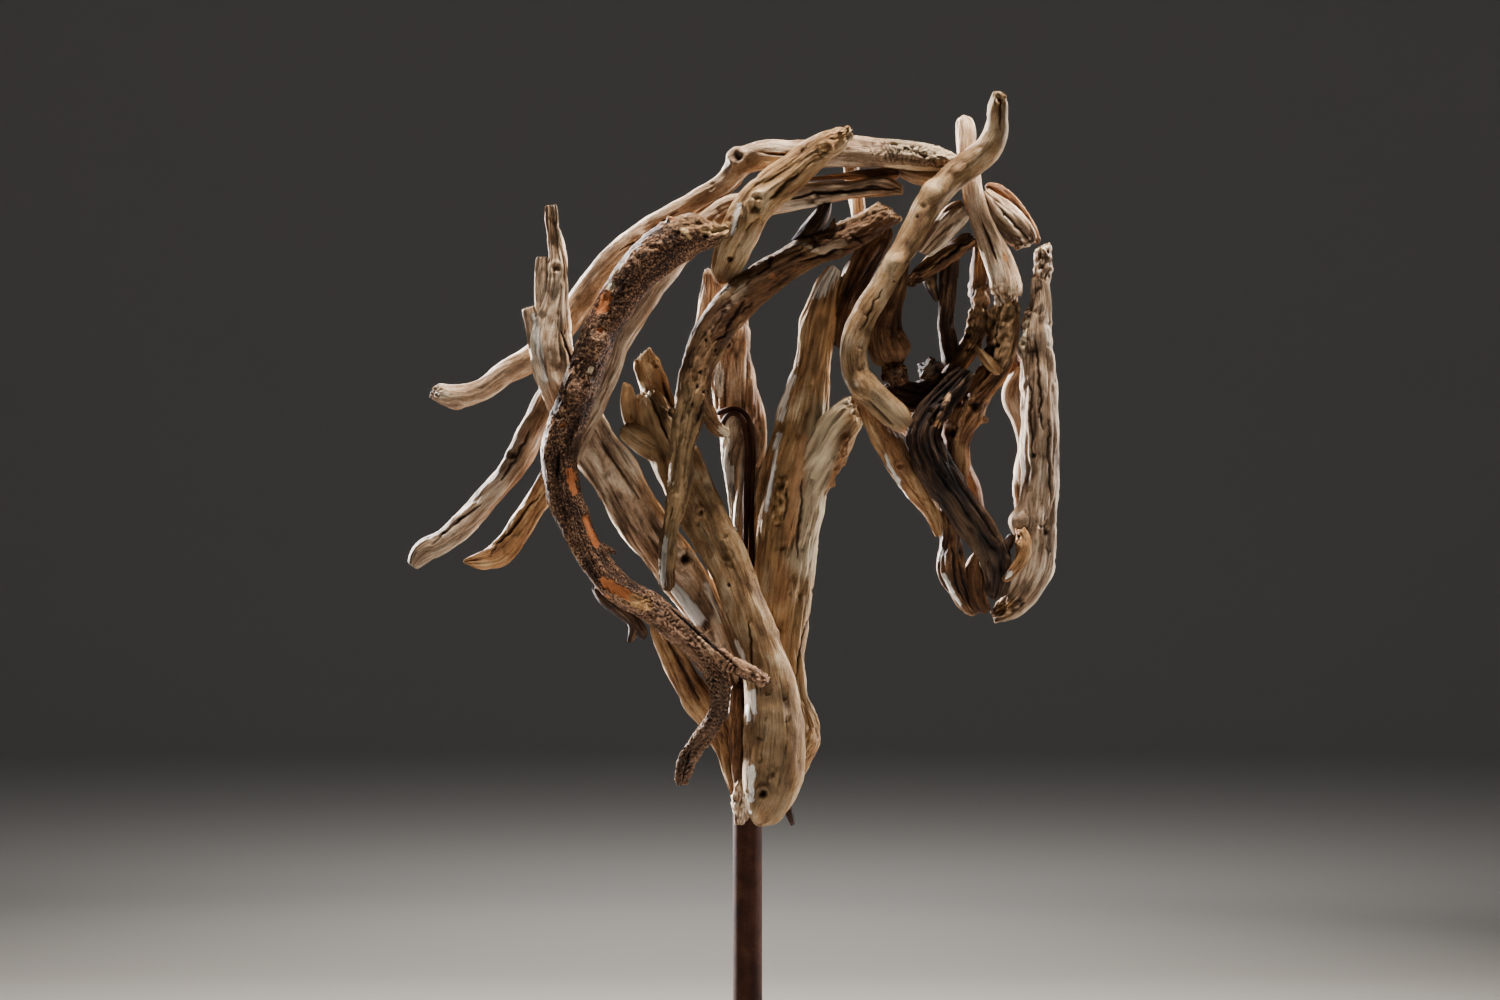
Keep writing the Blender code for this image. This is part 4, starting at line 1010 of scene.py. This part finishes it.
# The loose strands of the mane
# Two bleached sticks that trail from the back of the neck, cut on a slant at their ends. They are driftwood,
# silver and finely grooved, with their hidden ends screwed to the grey plank.
stick("upper_mane_strand", "silver",
      [(412, 566, 4, 5), (421, 554, 3, 11), (447, 538, 0, 11.5), (470, 518, -3, 12), (492, 494, -6, 12),
       (511, 470, -8, 12.5), (524, 446, -9, 13), (537, 420, -10, 12.5), (547, 400, -10, 12),
       (562, 372, -9, 10)],
      ridge=0.7, checks=0.4, shade=0.78, ruddiness=0.0, ends=("cut", "worn"),
      marks=[knot(512, 455, 5), crack(430, 545, 1.3, to=(480, 505)), crack(500, 480, 1.3, to=(530, 430))])
stick("lower_mane_strand", "tan",
      [(463, 562, 4, 2), (480, 561, 4, 8.5), (498, 555, 3, 12), (516, 535, 2, 12), (530, 512, 2, 12),
       (544, 489, 2, 12), (557, 467, 3, 11), (572, 444, 4, 9)],
      flat=0.7, ridge=0.9, checks=0.5, shade=1.08, ruddiness=0.2, ends=("worn", "worn"),
      marks=[crack(490, 556, 1.4, to=(540, 494))])

# The ears and the cheek
# A smooth branch sweeps from the tip of the near ear round the whole cheek, and a shorter speckled one makes
# the far ear and the brow. Both are pale driftwood, worn by sand, and are screwed to the poll.
stick("ear_cheek_branch", "pale",
      [(997, 91, 32, 5), (998, 102, 31, 9.5), (997, 118, 30, 11), (995, 133, 29, 12.5),
       (988, 148, 28, 14), (975, 160, 27, 14.5), (958, 173, 28, 14.5), (943, 187, 31, 14),
       (929, 206, 36, 14), (917, 227, 41, 13), (905, 248, 46, 12.5), (893, 269, 50, 12.5),
       (880, 291, 53, 13), (866, 313, 56, 13.5), (856, 336, 58, 13.5), (853, 358, 59, 13.5),
       (857, 376, 59, 14), (868, 391, 58, 14), (885, 406, 56, 14), (899, 419, 54, 13), (907, 427, 52, 9)],
      mottled=True, ridge=0.15, checks=0.1, shade=0.68, ruddiness=0.1, ends=("broken", "cut"),
      marks=[crack(1001, 98, 0.9, to=(1000, 132)), bump(930, 190, 9), wash(857, 384, 4, CHIP),
             bump(858, 390, 9), hole(917, 217, 1.4), hole(894, 282, 1.2), hole(908, 262, 1.2),
             rough(1000, 98, 6), bump(896, 262, 9), bump(958, 171, 5),
             crack(884, 290, 0.8, to=(860, 330)), crack(868, 400, 0.9, to=(894, 426)),
             wash(1006, 112, 6, srgb(150, 122, 92), to=(1003, 142)),
             wash(880, 400, 10, srgb(150, 128, 96), to=(900, 420))])
stick("far_ear_branch", "silver",
      [(964, 115, -8, 6), (966, 130, -5, 9.5), (967, 150, -1, 10), (970, 175, 3, 10.5),
       (974, 200, 7, 10.5), (982, 222, 11, 11.5), (993, 247, 15, 13.5), (1003, 272, 18, 15),
       (1007, 292, 20, 15.5), (1008, 306, 20, 12)],
      flat=0.8, ridge=0.6, checks=0.4, shade=1.75, speckle=0.8, ruddiness=0.0, ends=("worn", "broken"),
      marks=[crack(982, 222, 1.2, to=(998, 262)), stain_and_highlight(1006, 258, 4, srgb(190, 130, 84)),
             rough(994, 292, 7, to=(1018, 300)), wash(1004, 296, 9, srgb(150, 112, 76))])
stick("throat_branch", "brown",
      [(838, 348, -6, 6), (845, 312, -8, 11), (858, 277, -10, 14), (873, 248, -11, 14),
       (887, 222, -10, 10)],
      flat=0.7, ridge=1.5, checks=0.5, shade=0.62, ruddiness=0.1, ends=("worn", "worn"))

# The poll and the forehead
# Short pieces fill the top of the head behind the ears: chips, a wedge, a pitted slab and two dark sticks.
# They are driftwood offcuts, screwed and glued between the crest and the brow.
stick("poll_dark_stick", "brown",
      [(806, 179, -5, 1.8), (840, 177, -6, 3), (865, 175, -7, 5.5), (890, 174, -8, 6.5),
       (901, 173, -8, 5)],
      shade=0.75, ridge=1.3, ends=("worn", "worn"),
      marks=[wash(918, 173, 9, srgb(204, 170, 128), to=(938, 180))])
stick("poll_wedge", "tan",
      [(898, 172, -3, 3.5), (917, 177, -2, 6.5), (937, 180, 2, 8), (957, 183, 8, 6)],
      ridge=1.2, checks=0.9, tones="silver")
stick("far_poll_stick", "silver",
      [(848, 158, -16, 7), (854, 182, -22, 7.5), (859, 210, -25, 7.5), (863, 240, -22, 7),
       (864, 262, -16, 5)],
      ridge=1.2)
stick("crest_twig", "dark",
      [(827, 199, 6, 5), (824, 210, 8, 7), (817, 222, 11, 9), (804, 236, 15, 8), (793, 242, 17, 3)])
stick("forehead_slab", "silver",
      [(983, 192, 2, 6), (995, 208, 3, 13), (1008, 222, 4, 16), (1022, 236, 4, 15), (1032, 246, 4, 9)],
      square=0.8, shade=1.5, speckle=0.5, checks=0.4, ridge=1.2, ruddiness=0.1,
      marks=[hole(1004, 214, 1.8), hole(1016, 226, 1.8), crack(992, 200, 1.3, to=(1030, 240)),
             rough(1018, 244, 8, to=(1034, 246)), wash(1000, 222, 6, srgb(150, 112, 78), to=(1014, 238))])
stick("back_forehead_stick", "brown",
      [(985, 186, -8, 3.5), (993, 189, -11, 5.5), (1005, 197, -14, 6.5), (1017, 208, -15, 6),
       (1027, 222, -15, 5), (1038, 244, -12, 4)],
      shade=1.3, ends=("worn", "worn"))
stick("brow_stub", "tan",
      [(1042, 243, -6, 8.5), (1043, 260, -5, 9.5), (1042, 278, -3, 9), (1039, 292, -1, 7)],
      tones="silver", shade=1.05, ruddiness=0.0,
      marks=[stain_and_highlight(1046, 246, 5, CHIP), rough(1042, 248, 9, to=(1044, 270))])

# The nose and the brow
# A long tan log makes the front of the face, with dark roots and sticks laid in behind it round the eye. They
# are driftwood, split along the grain and blackened in the hollows, and are screwed end to end.
stick("nose_log", "silver",
      [(1038, 278, 4, 7), (1039, 300, 5, 9.5), (1036, 325, 6, 14), (1037, 360, 7, 16.5),
       (1038, 400, 8, 18), (1039, 437, 8, 19.5), (1040, 475, 8, 19.5), (1038, 503, 8, 20.5),
       (1035, 522, 8, 23), (1036, 548, 8, 20), (1033, 572, 7, 17.5), (1023, 593, 6, 15),
       (1008, 609, 4, 10.5), (992, 618, 2, 5)],
      flat=0.85, checks=0.4, shade=0.94, ruddiness=0.3,
      marks=[crack(1036, 340, 1.4, to=(1042, 430)), crack(1030, 380, 1.2, to=(1032, 460)),
             hole(1034, 455, 2.2), crack(1048, 420, 1.3, to=(1050, 500)),
             rough(1024, 312, 8, to=(1024, 350)), hole(1030, 402, 1.3),
             stain_and_highlight(1022, 318, 5, CHIP, to=(1022, 345)), wash(1004, 608, 11, srgb(168, 116, 64)),
             rough(996, 612, 9, to=(1016, 604)), bump(1016, 520, 10), rough(1044, 528, 7),
             wash(1046, 400, 6, srgb(150, 118, 90), to=(1050, 520))])
stick("nostril_stick", "tan",
      [(1019, 527, 24, 5), (1025, 543, 27, 7), (1021, 560, 27, 6.5), (1012, 573, 26, 5.5),
       (1003, 581, 24, 3.5)],
      shade=1.1, ridge=1.3, ruddiness=0.2, ends=("broken", "worn"),
      # The white spot near its end is painted rim light.
      marks=[stain_and_highlight(1008, 575, 4, RIM_LIGHT_WHITE), rough(1020, 540, 6)])
stick("temple_root", "brown",
      [(1008, 300, 10, 12), (1005, 318, 10, 15), (1003, 340, 11, 15.5), (997, 364, 12, 15),
       (982, 388, 14, 14), (967, 412, 15, 14), (957, 440, 15, 13), (957, 468, 14, 11), (962, 490, 12, 6)],
      [(972, 412, 14, 6), (981, 418, 14, 4.5), (989, 420, 14, 1.5)],
      ridge=1.2, twist=0.1, shade=1.2,
      marks=[wash(1005, 305, 15, srgb(218, 172, 124), to=(1002, 350)),
             rough(1006, 302, 14, to=(990, 352)), hole(998, 345, 2.5), knot(975, 405, 6),
             knot(952, 432, 6), crack(1000, 320, 1.4, to=(985, 380)), rough(962, 400, 9)])
stick("upper_brow_stick", "silver",
      [(966, 205, 18, 8), (957, 215, 20, 12), (944, 230, 23, 11.5), (932, 244, 26, 9), (922, 255, 29, 5)],
      shade=1.3, ridge=1.4, checks=0.9)
stick("lower_brow_stick", "brown",
      [(976, 235, 10, 8), (958, 247, 12, 10), (941, 260, 17, 10), (924, 272, 24, 8.5), (907, 284, 32, 6)],
      ridge=1.5, shade=0.85, ruddiness=0.1,
      marks=[rough(915, 280, 8), crack(972, 240, 1.4, to=(930, 268))])
stick("eye_front_stick", "dark",
      [(951, 247, 4, 9), (950, 275, 3, 9), (948, 300, 2, 8.5), (946, 325, 2, 8.5), (949, 346, 5, 9),
       (953, 368, 10, 9)],
      [(940, 255, 5, 8), (929, 268, 6, 9.5), (931, 286, 6, 6.5), (937, 302, 6, 2)],
      ridge=1.2, shade=1.15, ends=("worn", "worn"),
      marks=[wash(932, 284, 7, srgb(150, 118, 84)), rough(930, 280, 6)])
stick("eye_back_stick", "brown",
      [(982, 240, 0, 7), (980, 268, -1, 9), (979, 300, 0, 9.5), (977, 326, 2, 10), (969, 346, 5, 10),
       (958, 364, 10, 9), (947, 380, 16, 8)],
      marks=[rough(980, 290, 10, to=(972, 340)), wash(982, 296, 10, srgb(170, 128, 90), to=(974, 330))])

# The jaw, the chin and the mouth
# Dark weathered branches run from the cheek down to the muzzle, with stubs set end on into the cheek. They
# are driftwood nearly black with age, screwed to the branch that rings the cheek.
stick("jaw_branch", "dark",
      [(969, 370, 26, 6), (955, 385, 30, 11), (941, 401, 34, 13), (929, 419, 37, 15), (924, 438, 38, 17),
       (932, 460, 36, 18.5), (947, 485, 32, 18.5), (965, 512, 27, 17.5), (983, 537, 22, 16),
       (995, 558, 16, 14.5), (997, 578, 11, 12), (994, 600, 7, 9)],
      [(998, 553, 16, 7), (1007, 544, 16, 6), (1013, 534, 16, 3)],
      flat=0.8, ridge=1.5, checks=0.8, shade=0.62, ruddiness=0.15, ends=("broken", "worn"),
      marks=[stain_and_highlight(948, 398, 4, srgb(196, 152, 112)), stain_and_highlight(937, 424, 4, srgb(176, 128, 84)),
             hollow(966, 378, 4), rough(940, 410, 9), crack(950, 385, 1.5, to=(930, 425)),
             crack(936, 470, 1.5, to=(968, 515)), bump(997, 552, 8),
             wash(955, 500, 12, srgb(92, 70, 50), to=(985, 560))])
stick("under_jaw_stick", "tan",
      [(861, 397, 34, 9), (875, 417, 35, 12), (889, 443, 31, 14), (902, 467, 26, 13),
       (917, 490, 21, 11.5), (931, 512, 16, 8.5), (941, 535, 11, 5)],
      flat=0.8, ridge=0.9, shade=0.75, ruddiness=0.8, ends=("worn", "broken"),
      # The white streak down its left edge is painted rim light.
      marks=[stain_and_highlight(885, 456, 2, RIM_LIGHT_WHITE, to=(908, 500)), knot(900, 466, 4),
             wash(908, 470, 8, srgb(110, 74, 44))])
stick("chin_branch", "brown",
      [(944, 506, 12, 4), (948, 522, 12, 8), (951, 538, 11, 10.5), (950, 555, 9, 12.5), (952, 573, 6, 14),
       (960, 590, 3, 12), (969, 605, 1, 8.5), (977, 615, 0, 4)],
      ridge=1.6, checks=0.9, shade=0.8, ruddiness=0.1,
      # The white streaks down its left side are painted rim light.
      marks=[stain_and_highlight(941, 520, 2, RIM_LIGHT_WHITE, to=(939, 560)), stain_and_highlight(943, 575, 2, RIM_LIGHT_WHITE, to=(960, 604)),
             crack(950, 545, 1.5, to=(958, 592)), crack(958, 560, 1.3, to=(970, 605))])
stick("mouth_wedge", "brown",
      [(978, 551, 6, 3), (975, 566, 4, 8.5), (974, 582, 3, 9.5), (979, 600, 2, 9), (986, 613, 1, 6)],
      shade=0.8)
stick("cheek_plank", "brown",
      [(905, 252, 34, 6), (897, 280, 36, 10), (889, 310, 39, 13), (886, 336, 40, 19), (893, 354, 38, 20),
       (899, 367, 36, 16)],
      flat=0.4, square=0.7, ridge=0.9, shade=0.9, ruddiness=0.2, ends=("worn", "worn"))
stick("cheek_stub", "brown",
      [(898, 378, 18, 11), (896, 375, 32, 13), (894, 372, 50, 13)],
      flat=1.0, shade=1.1, ends=("broken", "worn"),
      marks=[knot(894, 374, 6), rough(894, 374, 13), wash(894, 374, 8, srgb(160, 120, 84))])
stick("inner_cheek_plank", "dark",
      [(884, 386, 22, 6), (900, 394, 22, 13), (918, 397, 22, 15), (936, 388, 23, 13), (950, 376, 20, 7)],
      flat=0.5, square=0.8, shade=1.3, ends=("worn", "worn"))
stick("eye_stub", "brown",
      [(932, 374, 12, 10), (930, 371, 25, 12), (928, 368, 38, 11)],
      flat=1.0, shade=0.42, ends=("broken", "worn"),
      marks=[knot(929, 369, 5), rough(929, 369, 12), wash(929, 369, 6, srgb(112, 84, 60))])
stick("eye_splinter", "tan",
      [(975, 347, 20, 2.5), (984, 357, 24, 5), (992, 366, 25, 5.5), (1001, 374, 24, 4)],
      shade=0.75)

# The small pieces round the foot of the neck
# Splints, pegs and twigs close the gaps where the logs come down on the post. They are driftwood scraps,
# one snapped clean across and pale, painted white down its left side as painted rim light, pushed in tight
# and glued.
stick("lower_plank", "tan",
      [(653, 618, 36, 5), (661, 634, 31, 9), (674, 658, 24, 12.5), (686, 680, 18, 14),
       (698, 700, 13, 14.5), (711, 718, 10, 13.5), (723, 742, 8, 12), (731, 770, 6, 9), (735, 795, 5, 5)],
      flat=0.5, square=0.8, ridge=1.1, checks=0.5, shade=0.7, ruddiness=0.2,
      marks=[crack(668, 640, 1.5, to=(700, 700))])
stick("post_side_stick", "brown",
      [(737, 684, 16, 6), (737, 715, 16, 8), (738, 745, 17, 8.5), (739, 775, 18, 7), (741, 800, 18, 5)],
      ridge=1.2, ends=("worn", "worn"))
stick("heel_splint", "silver",
      [(751, 757, 20, 4.5), (747, 775, 22, 8), (743, 795, 22, 9.5), (741, 812, 20, 8), (740, 825, 18, 4)],
      flat=0.6,
      marks=[rough(745, 775, 10, to=(741, 815))])
stick("heel_peg", "dark", [(784, 794, 22, 3.5), (788, 808, 22, 4), (791, 818, 22, 4), (793, 826, 22, 2)])
stick("broken_peg", "silver",
      [(670, 582, 24, 5), (682, 597, 22, 6.5), (695, 614, 20, 7), (708, 632, 19, 6)],
      # Its raised shade and the near-white streak below are painted rim light on its left side, over pale
      # wood.
      shade=1.6, ridge=0.4, checks=0.2, ends=("worn", "broken"),
      marks=[stain_and_highlight(676, 590, 9, srgb(236, 232, 224), to=(698, 618)), wash(704, 627, 6, srgb(84, 52, 38)),
             rough(703, 626, 6)])
stick("under_twig", "dark",
      [(594, 586, 44, 4), (604, 599, 43, 6.5), (619, 609, 43, 7), (632, 619, 44, 6.5), (641, 631, 44, 6),
       (646, 638, 44, 3)],
      [(634, 622, 44, 5), (633, 633, 44, 4.5), (629, 643, 44, 2)])

# The far side
# Behind each branch of the near side stands a plainer one that closes the neck and the head. They are the
# same driftwood, bare and little marked, and are screwed to the post and to one another.
def far_stick(name, finish, rows, **worked):
    """A stick that is mostly hidden. Its corners stand wider apart and its ends are worn round."""
    stick(name, finish, rows, coarse=FAR_COARSENESS, ends=("worn", "worn"), **worked)


far_stick("far_neck_log", "tan",
          [(672, 448, -18, 9), (688, 485, -22, 14), (712, 537, -26, 16), (737, 600, -30, 16),
           (756, 655, -32, 16), (768, 705, -31, 17), (771, 755, -29, 16), (768, 795, -26, 9)],
          flat=0.8)
far_stick("far_throat_log", "silver",
          [(822, 325, -22, 8), (813, 365, -28, 13), (803, 425, -36, 19), (793, 485, -41, 21),
           (786, 555, -41, 19), (784, 620, -38, 17), (788, 680, -34, 15), (790, 735, -30, 12)],
          flat=0.7)
far_stick("far_brace", "brown",
          [(893, 210, -14, 9), (857, 231, -21, 11), (808, 254, -29, 11), (766, 279, -36, 11),
           (727, 310, -42, 9)],
          shade=1.2)
far_stick("far_bow", "brown",
          [(742, 172, -16, 7), (706, 205, -20, 9), (666, 245, -26, 11), (634, 279, -31, 12),
           (606, 322, -34, 12), (581, 382, -35, 12), (563, 460, -32, 12), (572, 510, -29, 11),
           (592, 554, -25, 10), (628, 594, -20, 10), (694, 643, -9, 8), (714, 656, -5, 5)],
          shade=1.25)
far_stick("far_crest_stick", "tan",
          [(752, 158, -18, 6), (790, 155, -23, 9), (840, 153, -24, 10.5), (890, 155, -22, 10),
           (930, 161, -15, 8), (960, 171, -8, 6)])
far_stick("far_cheek_branch", "silver",
          [(966, 171, -10, 7), (944, 188, -18, 10), (918, 226, -30, 10.5), (893, 269, -40, 10.5),
           (867, 313, -47, 11), (855, 350, -49, 11), (860, 379, -48, 11), (884, 405, -45, 11),
           (905, 424, -42, 8)],
          shade=0.9)
far_stick("far_jaw_branch", "brown",
          [(896, 412, -42, 8), (918, 432, -40, 12), (942, 448, -37, 13), (957, 466, -33, 13),
           (968, 486, -28, 12), (977, 508, -22, 7), (986, 534, -16, 8), (995, 560, -9, 9),
           (995, 590, -3, 7)])
far_stick("far_brow_branch", "brown",
          [(970, 185, -8, 7), (980, 215, -14, 10), (995, 250, -19, 11), (1005, 285, -21, 12),
           (1006, 320, -22, 12), (1008, 352, -22, 10), (1020, 378, -19, 8)])
far_stick("far_nose_branch", "silver",
          [(1024, 366, -14, 6), (1014, 395, -18, 12), (1021, 418, -19, 9.5), (1027, 446, -19, 9),
           (1027, 485, -19, 12.5), (1031, 522, -18, 12), (1031, 556, -16, 12), (1023, 582, -12, 10),
           (1011, 602, -6, 7)],
          shade=0.8)

# The hooked rods
# Two thin steel rods run up the back of the post and hook over the centre post to keep the neck from turning.
# They are drawn bar bent by hand, welded down the post, and as rusty as the rest of the stand.
ROD_RADIUS = 0.0038
ROD_HALF = ROD_RADIUS / UNIT
ROD_REACH = (POST_RADIUS + ROD_RADIUS) / UNIT
RING_SPACING = 0.003


def on_post(down, angle_deg):
    """A rod's row where it lies against the post, at an angle round it from the viewer's right."""
    angle = math.radians(angle_deg)
    return (POST_ACROSS + ROD_REACH * math.cos(angle), down, ROD_REACH * math.sin(angle), ROD_HALF)


def rod(name, angle_deg, path):
    """A bent bar along the path, and then down the post to its weld."""
    down_post = [on_post(690, angle_deg), on_post(755, angle_deg)]
    stem = Stem([(*point, ROD_HALF) for point in path] + down_post, 1.0)
    bar = blank(f"{name}_steel", 20, math.ceil(stem.length / RING_SPACING))
    Surface(stem, bar, ("cut", "cut"), 1.0, 0.0, 900).finish(bar)
    bpy.ops.object.shade_smooth()
    stands_for(bar, name, rusted_steel(f"{name}_rust", angle_deg))


rod("hook_rod_near", -100,
    [(722, 426, -22), (725, 419, -17), (730, 414, -14), (737, 414, -13), (742, 419, -12), (745, 430, -12),
     (745.5, 500, -14), (745, 600, -16)])
rod("hook_rod_far", -66,
    [(718, 413, -25), (724, 411, -20), (732, 409, -18), (742, 411, -17), (748, 418, -16), (751, 430, -16),
     (751.5, 500, -17), (752, 600, -17)])

# Floor, light and camera
# A pale floor that curves up all round into a backdrop, lit as in a studio: a soft lamp high above, one
# behind on each side for the bright edges, a weak one in front, and one that lights only the backdrop.
FLOOR_RADIUS = 9.0
SENSOR_WIDTH = 36.0
floor = start_piece("studio_floor", bpy.ops.mesh.primitive_circle_add, vertices=128, radius=FLOOR_RADIUS,
                    fill_type="NGON", location=(0, 0, 0))
bpy.ops.object.mode_set(mode="EDIT")
bpy.ops.mesh.select_all(action="SELECT")
for out, up in ((1.0, 0.15), (1.0, 0.45), (0.9, 0.8), (0.7, 1.2), (0.4, 1.5), (0.1, 1.8)):
    bpy.ops.mesh.extrude_region_move(TRANSFORM_OT_translate={"value": (0, 0, up)})
    wider = 1.0 + out / FLOOR_RADIUS
    bpy.ops.transform.resize(value=(wider, wider, 1.0), center_override=(0.0, 0.0, 0.0))
bpy.ops.mesh.delete(type="ONLY_FACE")
bpy.ops.object.mode_set(mode="OBJECT")
bpy.ops.object.shade_smooth()
floor_paint, _, floor_shader = new_material("studio_floor_paint")
floor_shader.inputs["Base Color"].default_value = (0.46, 0.445, 0.43, 1.0)
floor_shader.inputs["Roughness"].default_value = 0.9
floor.data.materials.append(floor_paint)


def area_light(name, place_at, aim, size, power, spread_deg, colour):
    """A round soft lamp with a grid before it, so that it lights the sculpture more than the floor."""
    bpy.ops.object.light_add(type="AREA", location=place_at)
    lamp = bpy.context.object
    lamp.name = name
    lamp.data.name = name
    lamp.data.shape = "DISK"
    lamp.data.size = size
    lamp.data.energy = power
    lamp.data.color = colour
    lamp.data.spread = math.radians(spread_deg)
    lamp.visible_camera = False
    look = lamp.location - Vector(aim)
    lamp.rotation_euler = look.to_track_quat("Z", "Y").to_euler()
    return lamp


area_light("key_light", (0.5, -0.1, 4.4), (0.0, 0.0, 1.0), 0.5, 108.0, 75, (1.0, 0.94, 0.86))
area_light("left_rim_light", (-2.4, 2.4, 1.9), (0.0, 0.0, 1.0), 0.8, 200.0, 45, (0.94, 0.97, 1.0))
area_light("right_rim_light", (3.0, 1.7, 2.2), (0.0, 0.0, 1.0), 0.9, 40.0, 45, (0.95, 0.97, 1.0))
area_light("fill_light", (2.0, -4.6, 1.8), (0.0, 0.0, 0.9), 1.2, 2.5, 120, (1.0, 0.97, 0.94))
area_light("backdrop_light", (0.0, 2.5, 2.2), (0.0, 9.0, 0.4), 1.5, 70.0, 180, (1.0, 0.97, 0.93))
world = bpy.data.worlds.new("studio_air")
world.use_nodes = True
world.node_tree.nodes["Background"].inputs["Color"].default_value = (0.80, 0.83, 0.88, 1.0)
world.node_tree.nodes["Background"].inputs["Strength"].default_value = 0.035
bpy.context.scene.world = world

bpy.ops.object.camera_add(location=(EYE_X, -VIEW_DISTANCE, EYE_Z), rotation=(math.radians(90), 0, 0))
camera = bpy.context.object
camera.name = "photo_camera"
camera.data.sensor_width = SENSOR_WIDTH
camera.data.lens = SENSOR_WIDTH * VIEW_DISTANCE / (DRAWING_WIDTH * UNIT)
camera.data.dof.use_dof = False
bpy.context.scene.camera = camera
